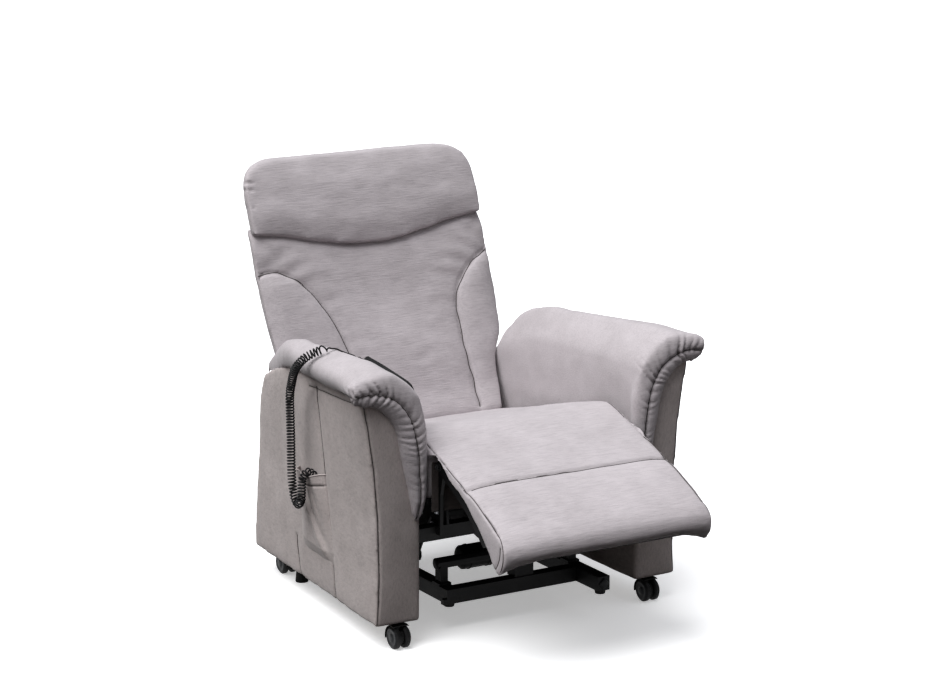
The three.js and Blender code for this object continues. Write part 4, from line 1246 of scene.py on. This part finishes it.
# casters: a hood over each pair of wheels and a dished disc on each outer face
CASTERS = {"front_left": (-319, -313, -1), "front_right": (319, -313, -1), "rear_left": (-278, 251, 1), "rear_right": (278, 251, 1)}
for nm, (x, y, way) in CASTERS.items():
    ay, az = y + way * 16, 24.79
    verts, faces = [], []
    steps, across = 22, 9
    for j in range(steps + 1):
        a = math.radians(-14 + 128 * j / steps)
        for i in range(across + 1):
            u = -1 + 2 * i / across
            r = 28.3 - 2.6 * abs(u) ** 4
            verts.append(P(x + 18.6 * u, ay - way * r * math.cos(a), az + r * math.sin(a)))
    for j in range(steps):
        for i in range(across):
            a = j * (across + 1) + i
            faces.append((a, a + 1, a + across + 2, a + across + 1))
    hood = new_object("caster_hood_" + nm, verts, faces, M_BLACK)
    mth = hood.modifiers.new("thick", "SOLIDIFY")
    mth.thickness = 0.0016
    mth.offset = -1
    bake(hood)
    mb = hood.modifiers.new("edge", "BEVEL")
    mb.width = 0.0004
    bake(hood)
    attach(hood, "caster_" + nm)
    lathe("caster_stem_" + nm, [(0, 9.5), (2, 8), (8, 8), (9, 11), (11, 11)], (x, y, 45), (0, 0, 1), M_ZINC, "caster_" + nm, 20)
    for side in (-1, 1):
        lathe("wheel_disc_%s_%d" % (nm, side > 0), [(-1.0, 20.8), (0.5, 20.5), (1.3, 19.4), (1.1, 17.5), (0.4, 15.5), (0.4, 9.0), (1.2, 8.0), (2.0, 6.5), (2.3, 3.0)],
              (x + side * 17.9, ay, az), (side, 0, 0), M_DISC, "wheels_" + nm, 36)

# hand control: a bezel round the keys, arrows on the keys and rings on the lead's strain relief
def hand_mesh(name, verts, faces, mat, body):
    o = new_object(name, [met(np.array(hand_point(*v))) for v in verts], faces, mat, False)
    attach(o, body)
    return o


keys = ["lift_up", "lift_down", "back_up", "back_down"]
for (a, b), key in zip([(-9, 34), (9, 34), (-9, 8), (9, 8)], keys):
    up = 1 if key.endswith("up") else -1
    tri = [(-3.2, -2.4 * up), (3.2, -2.4 * up), (0, 3.0 * up)]
    verts = [(a + p, b + q, 12.05) for p, q in tri] + [(a + p, b + q, 12.35) for p, q in tri]
    hand_mesh("key_arrow_" + key, verts, [(0, 2, 1), (3, 4, 5), (0, 1, 4, 3), (1, 2, 5, 4), (2, 0, 3, 5)], M_MARK, "key_" + key)
line = []
for t in np.linspace(0, 2 * math.pi, 60, endpoint=False):
    ca, sa = math.cos(t), math.sin(t)
    line.append(Vector(met(np.array(hand_point(20.5 * math.copysign(abs(ca) ** 0.5, ca), 21 + 30 * math.copysign(abs(sa) ** 0.5, sa), 10.2)))))
tube("handset_bezel", line, 0.0007, "seat_frame", M_BLACK, 3, True)
for k in range(5):
    q = [Vector(met(np.array(hand_point(5.2 * math.cos(t), 83 + k * 4.2, 5.2 * math.sin(t))))) for t in np.linspace(0, 2 * math.pi, 20, endpoint=False)]
    tube("relief_ring_%d" % k, q, 0.0007, "seat_frame", M_RUBBER, 2, True)

# ------------------------------------------------------------------ floor and light
floor = new_object("floor", [(-300, -300, 0), (300, -300, 0), (300, 300, 0), (-300, 300, 0)], [(0, 1, 2, 3)], None, False)
kf = Nodes("floor_white")
kf.bsdf.inputs["Emission Color"].default_value = (1.0, 1.0, 1.0, 1)
kf.bsdf.inputs["Emission Strength"].default_value = 0.40
paint(floor, kf.set(color=kf.ramp(kf.noise((3, 3, 3)), [(0.3, (0.90, 0.90, 0.90)), (0.7, (0.92, 0.92, 0.92))]), rough=0.9, spec=0.0))
floor.visible_diffuse = False

world = bpy.data.worlds.new("studio")
S.world = world
world.use_nodes = True
wt = world.node_tree
bg = wt.nodes["Background"]
way = wt.nodes.new("ShaderNodeTexCoord")
split = wt.nodes.new("ShaderNodeSeparateXYZ")
wt.links.new(way.outputs["Generated"], split.inputs["Vector"])
for socket, low, high in (("Strength", 0.01, 0.52), ("Color", 0.0, 1.0)):
    level = wt.nodes.new("ShaderNodeMapRange")
    level.inputs["From Min"].default_value = -0.25
    level.inputs["From Max"].default_value = 0.65
    level.inputs["To Min"].default_value = low
    level.inputs["To Max"].default_value = high
    wt.links.new(split.outputs["Z"], level.inputs["Value"])
    if socket == "Strength":
        wt.links.new(level.outputs["Result"], bg.inputs["Strength"])
    else:
        tint = wt.nodes.new("ShaderNodeValToRGB")
        tint.color_ramp.elements[0].color = (1.0, 0.88, 0.80, 1)
        tint.color_ramp.elements[1].color = (0.97, 1.0, 1.07, 1)
        wt.links.new(level.outputs["Result"], tint.inputs["Fac"])
        wt.links.new(tint.outputs["Color"], bg.inputs["Color"])


def sun(name, way, strength, angle):
    l = bpy.data.lights.new(name, "SUN")
    l.energy = strength
    l.angle = math.radians(angle)
    o = link(bpy.data.objects.new(name, l))
    o.rotation_euler = (-Vector(way)).to_track_quat("-Z", "Y").to_euler()
    return o


# soft light from high on the left and in front, and a weak one from the right
sun("key", (-0.42, -0.07, 0.90), 3.1, 50)
sun("fill", (-0.9, 0.2, 0.45), 0.2, 60)

S.view_settings.view_transform = "Standard"
S.view_settings.look = "Medium High Contrast"
S.view_settings.exposure = -0.2
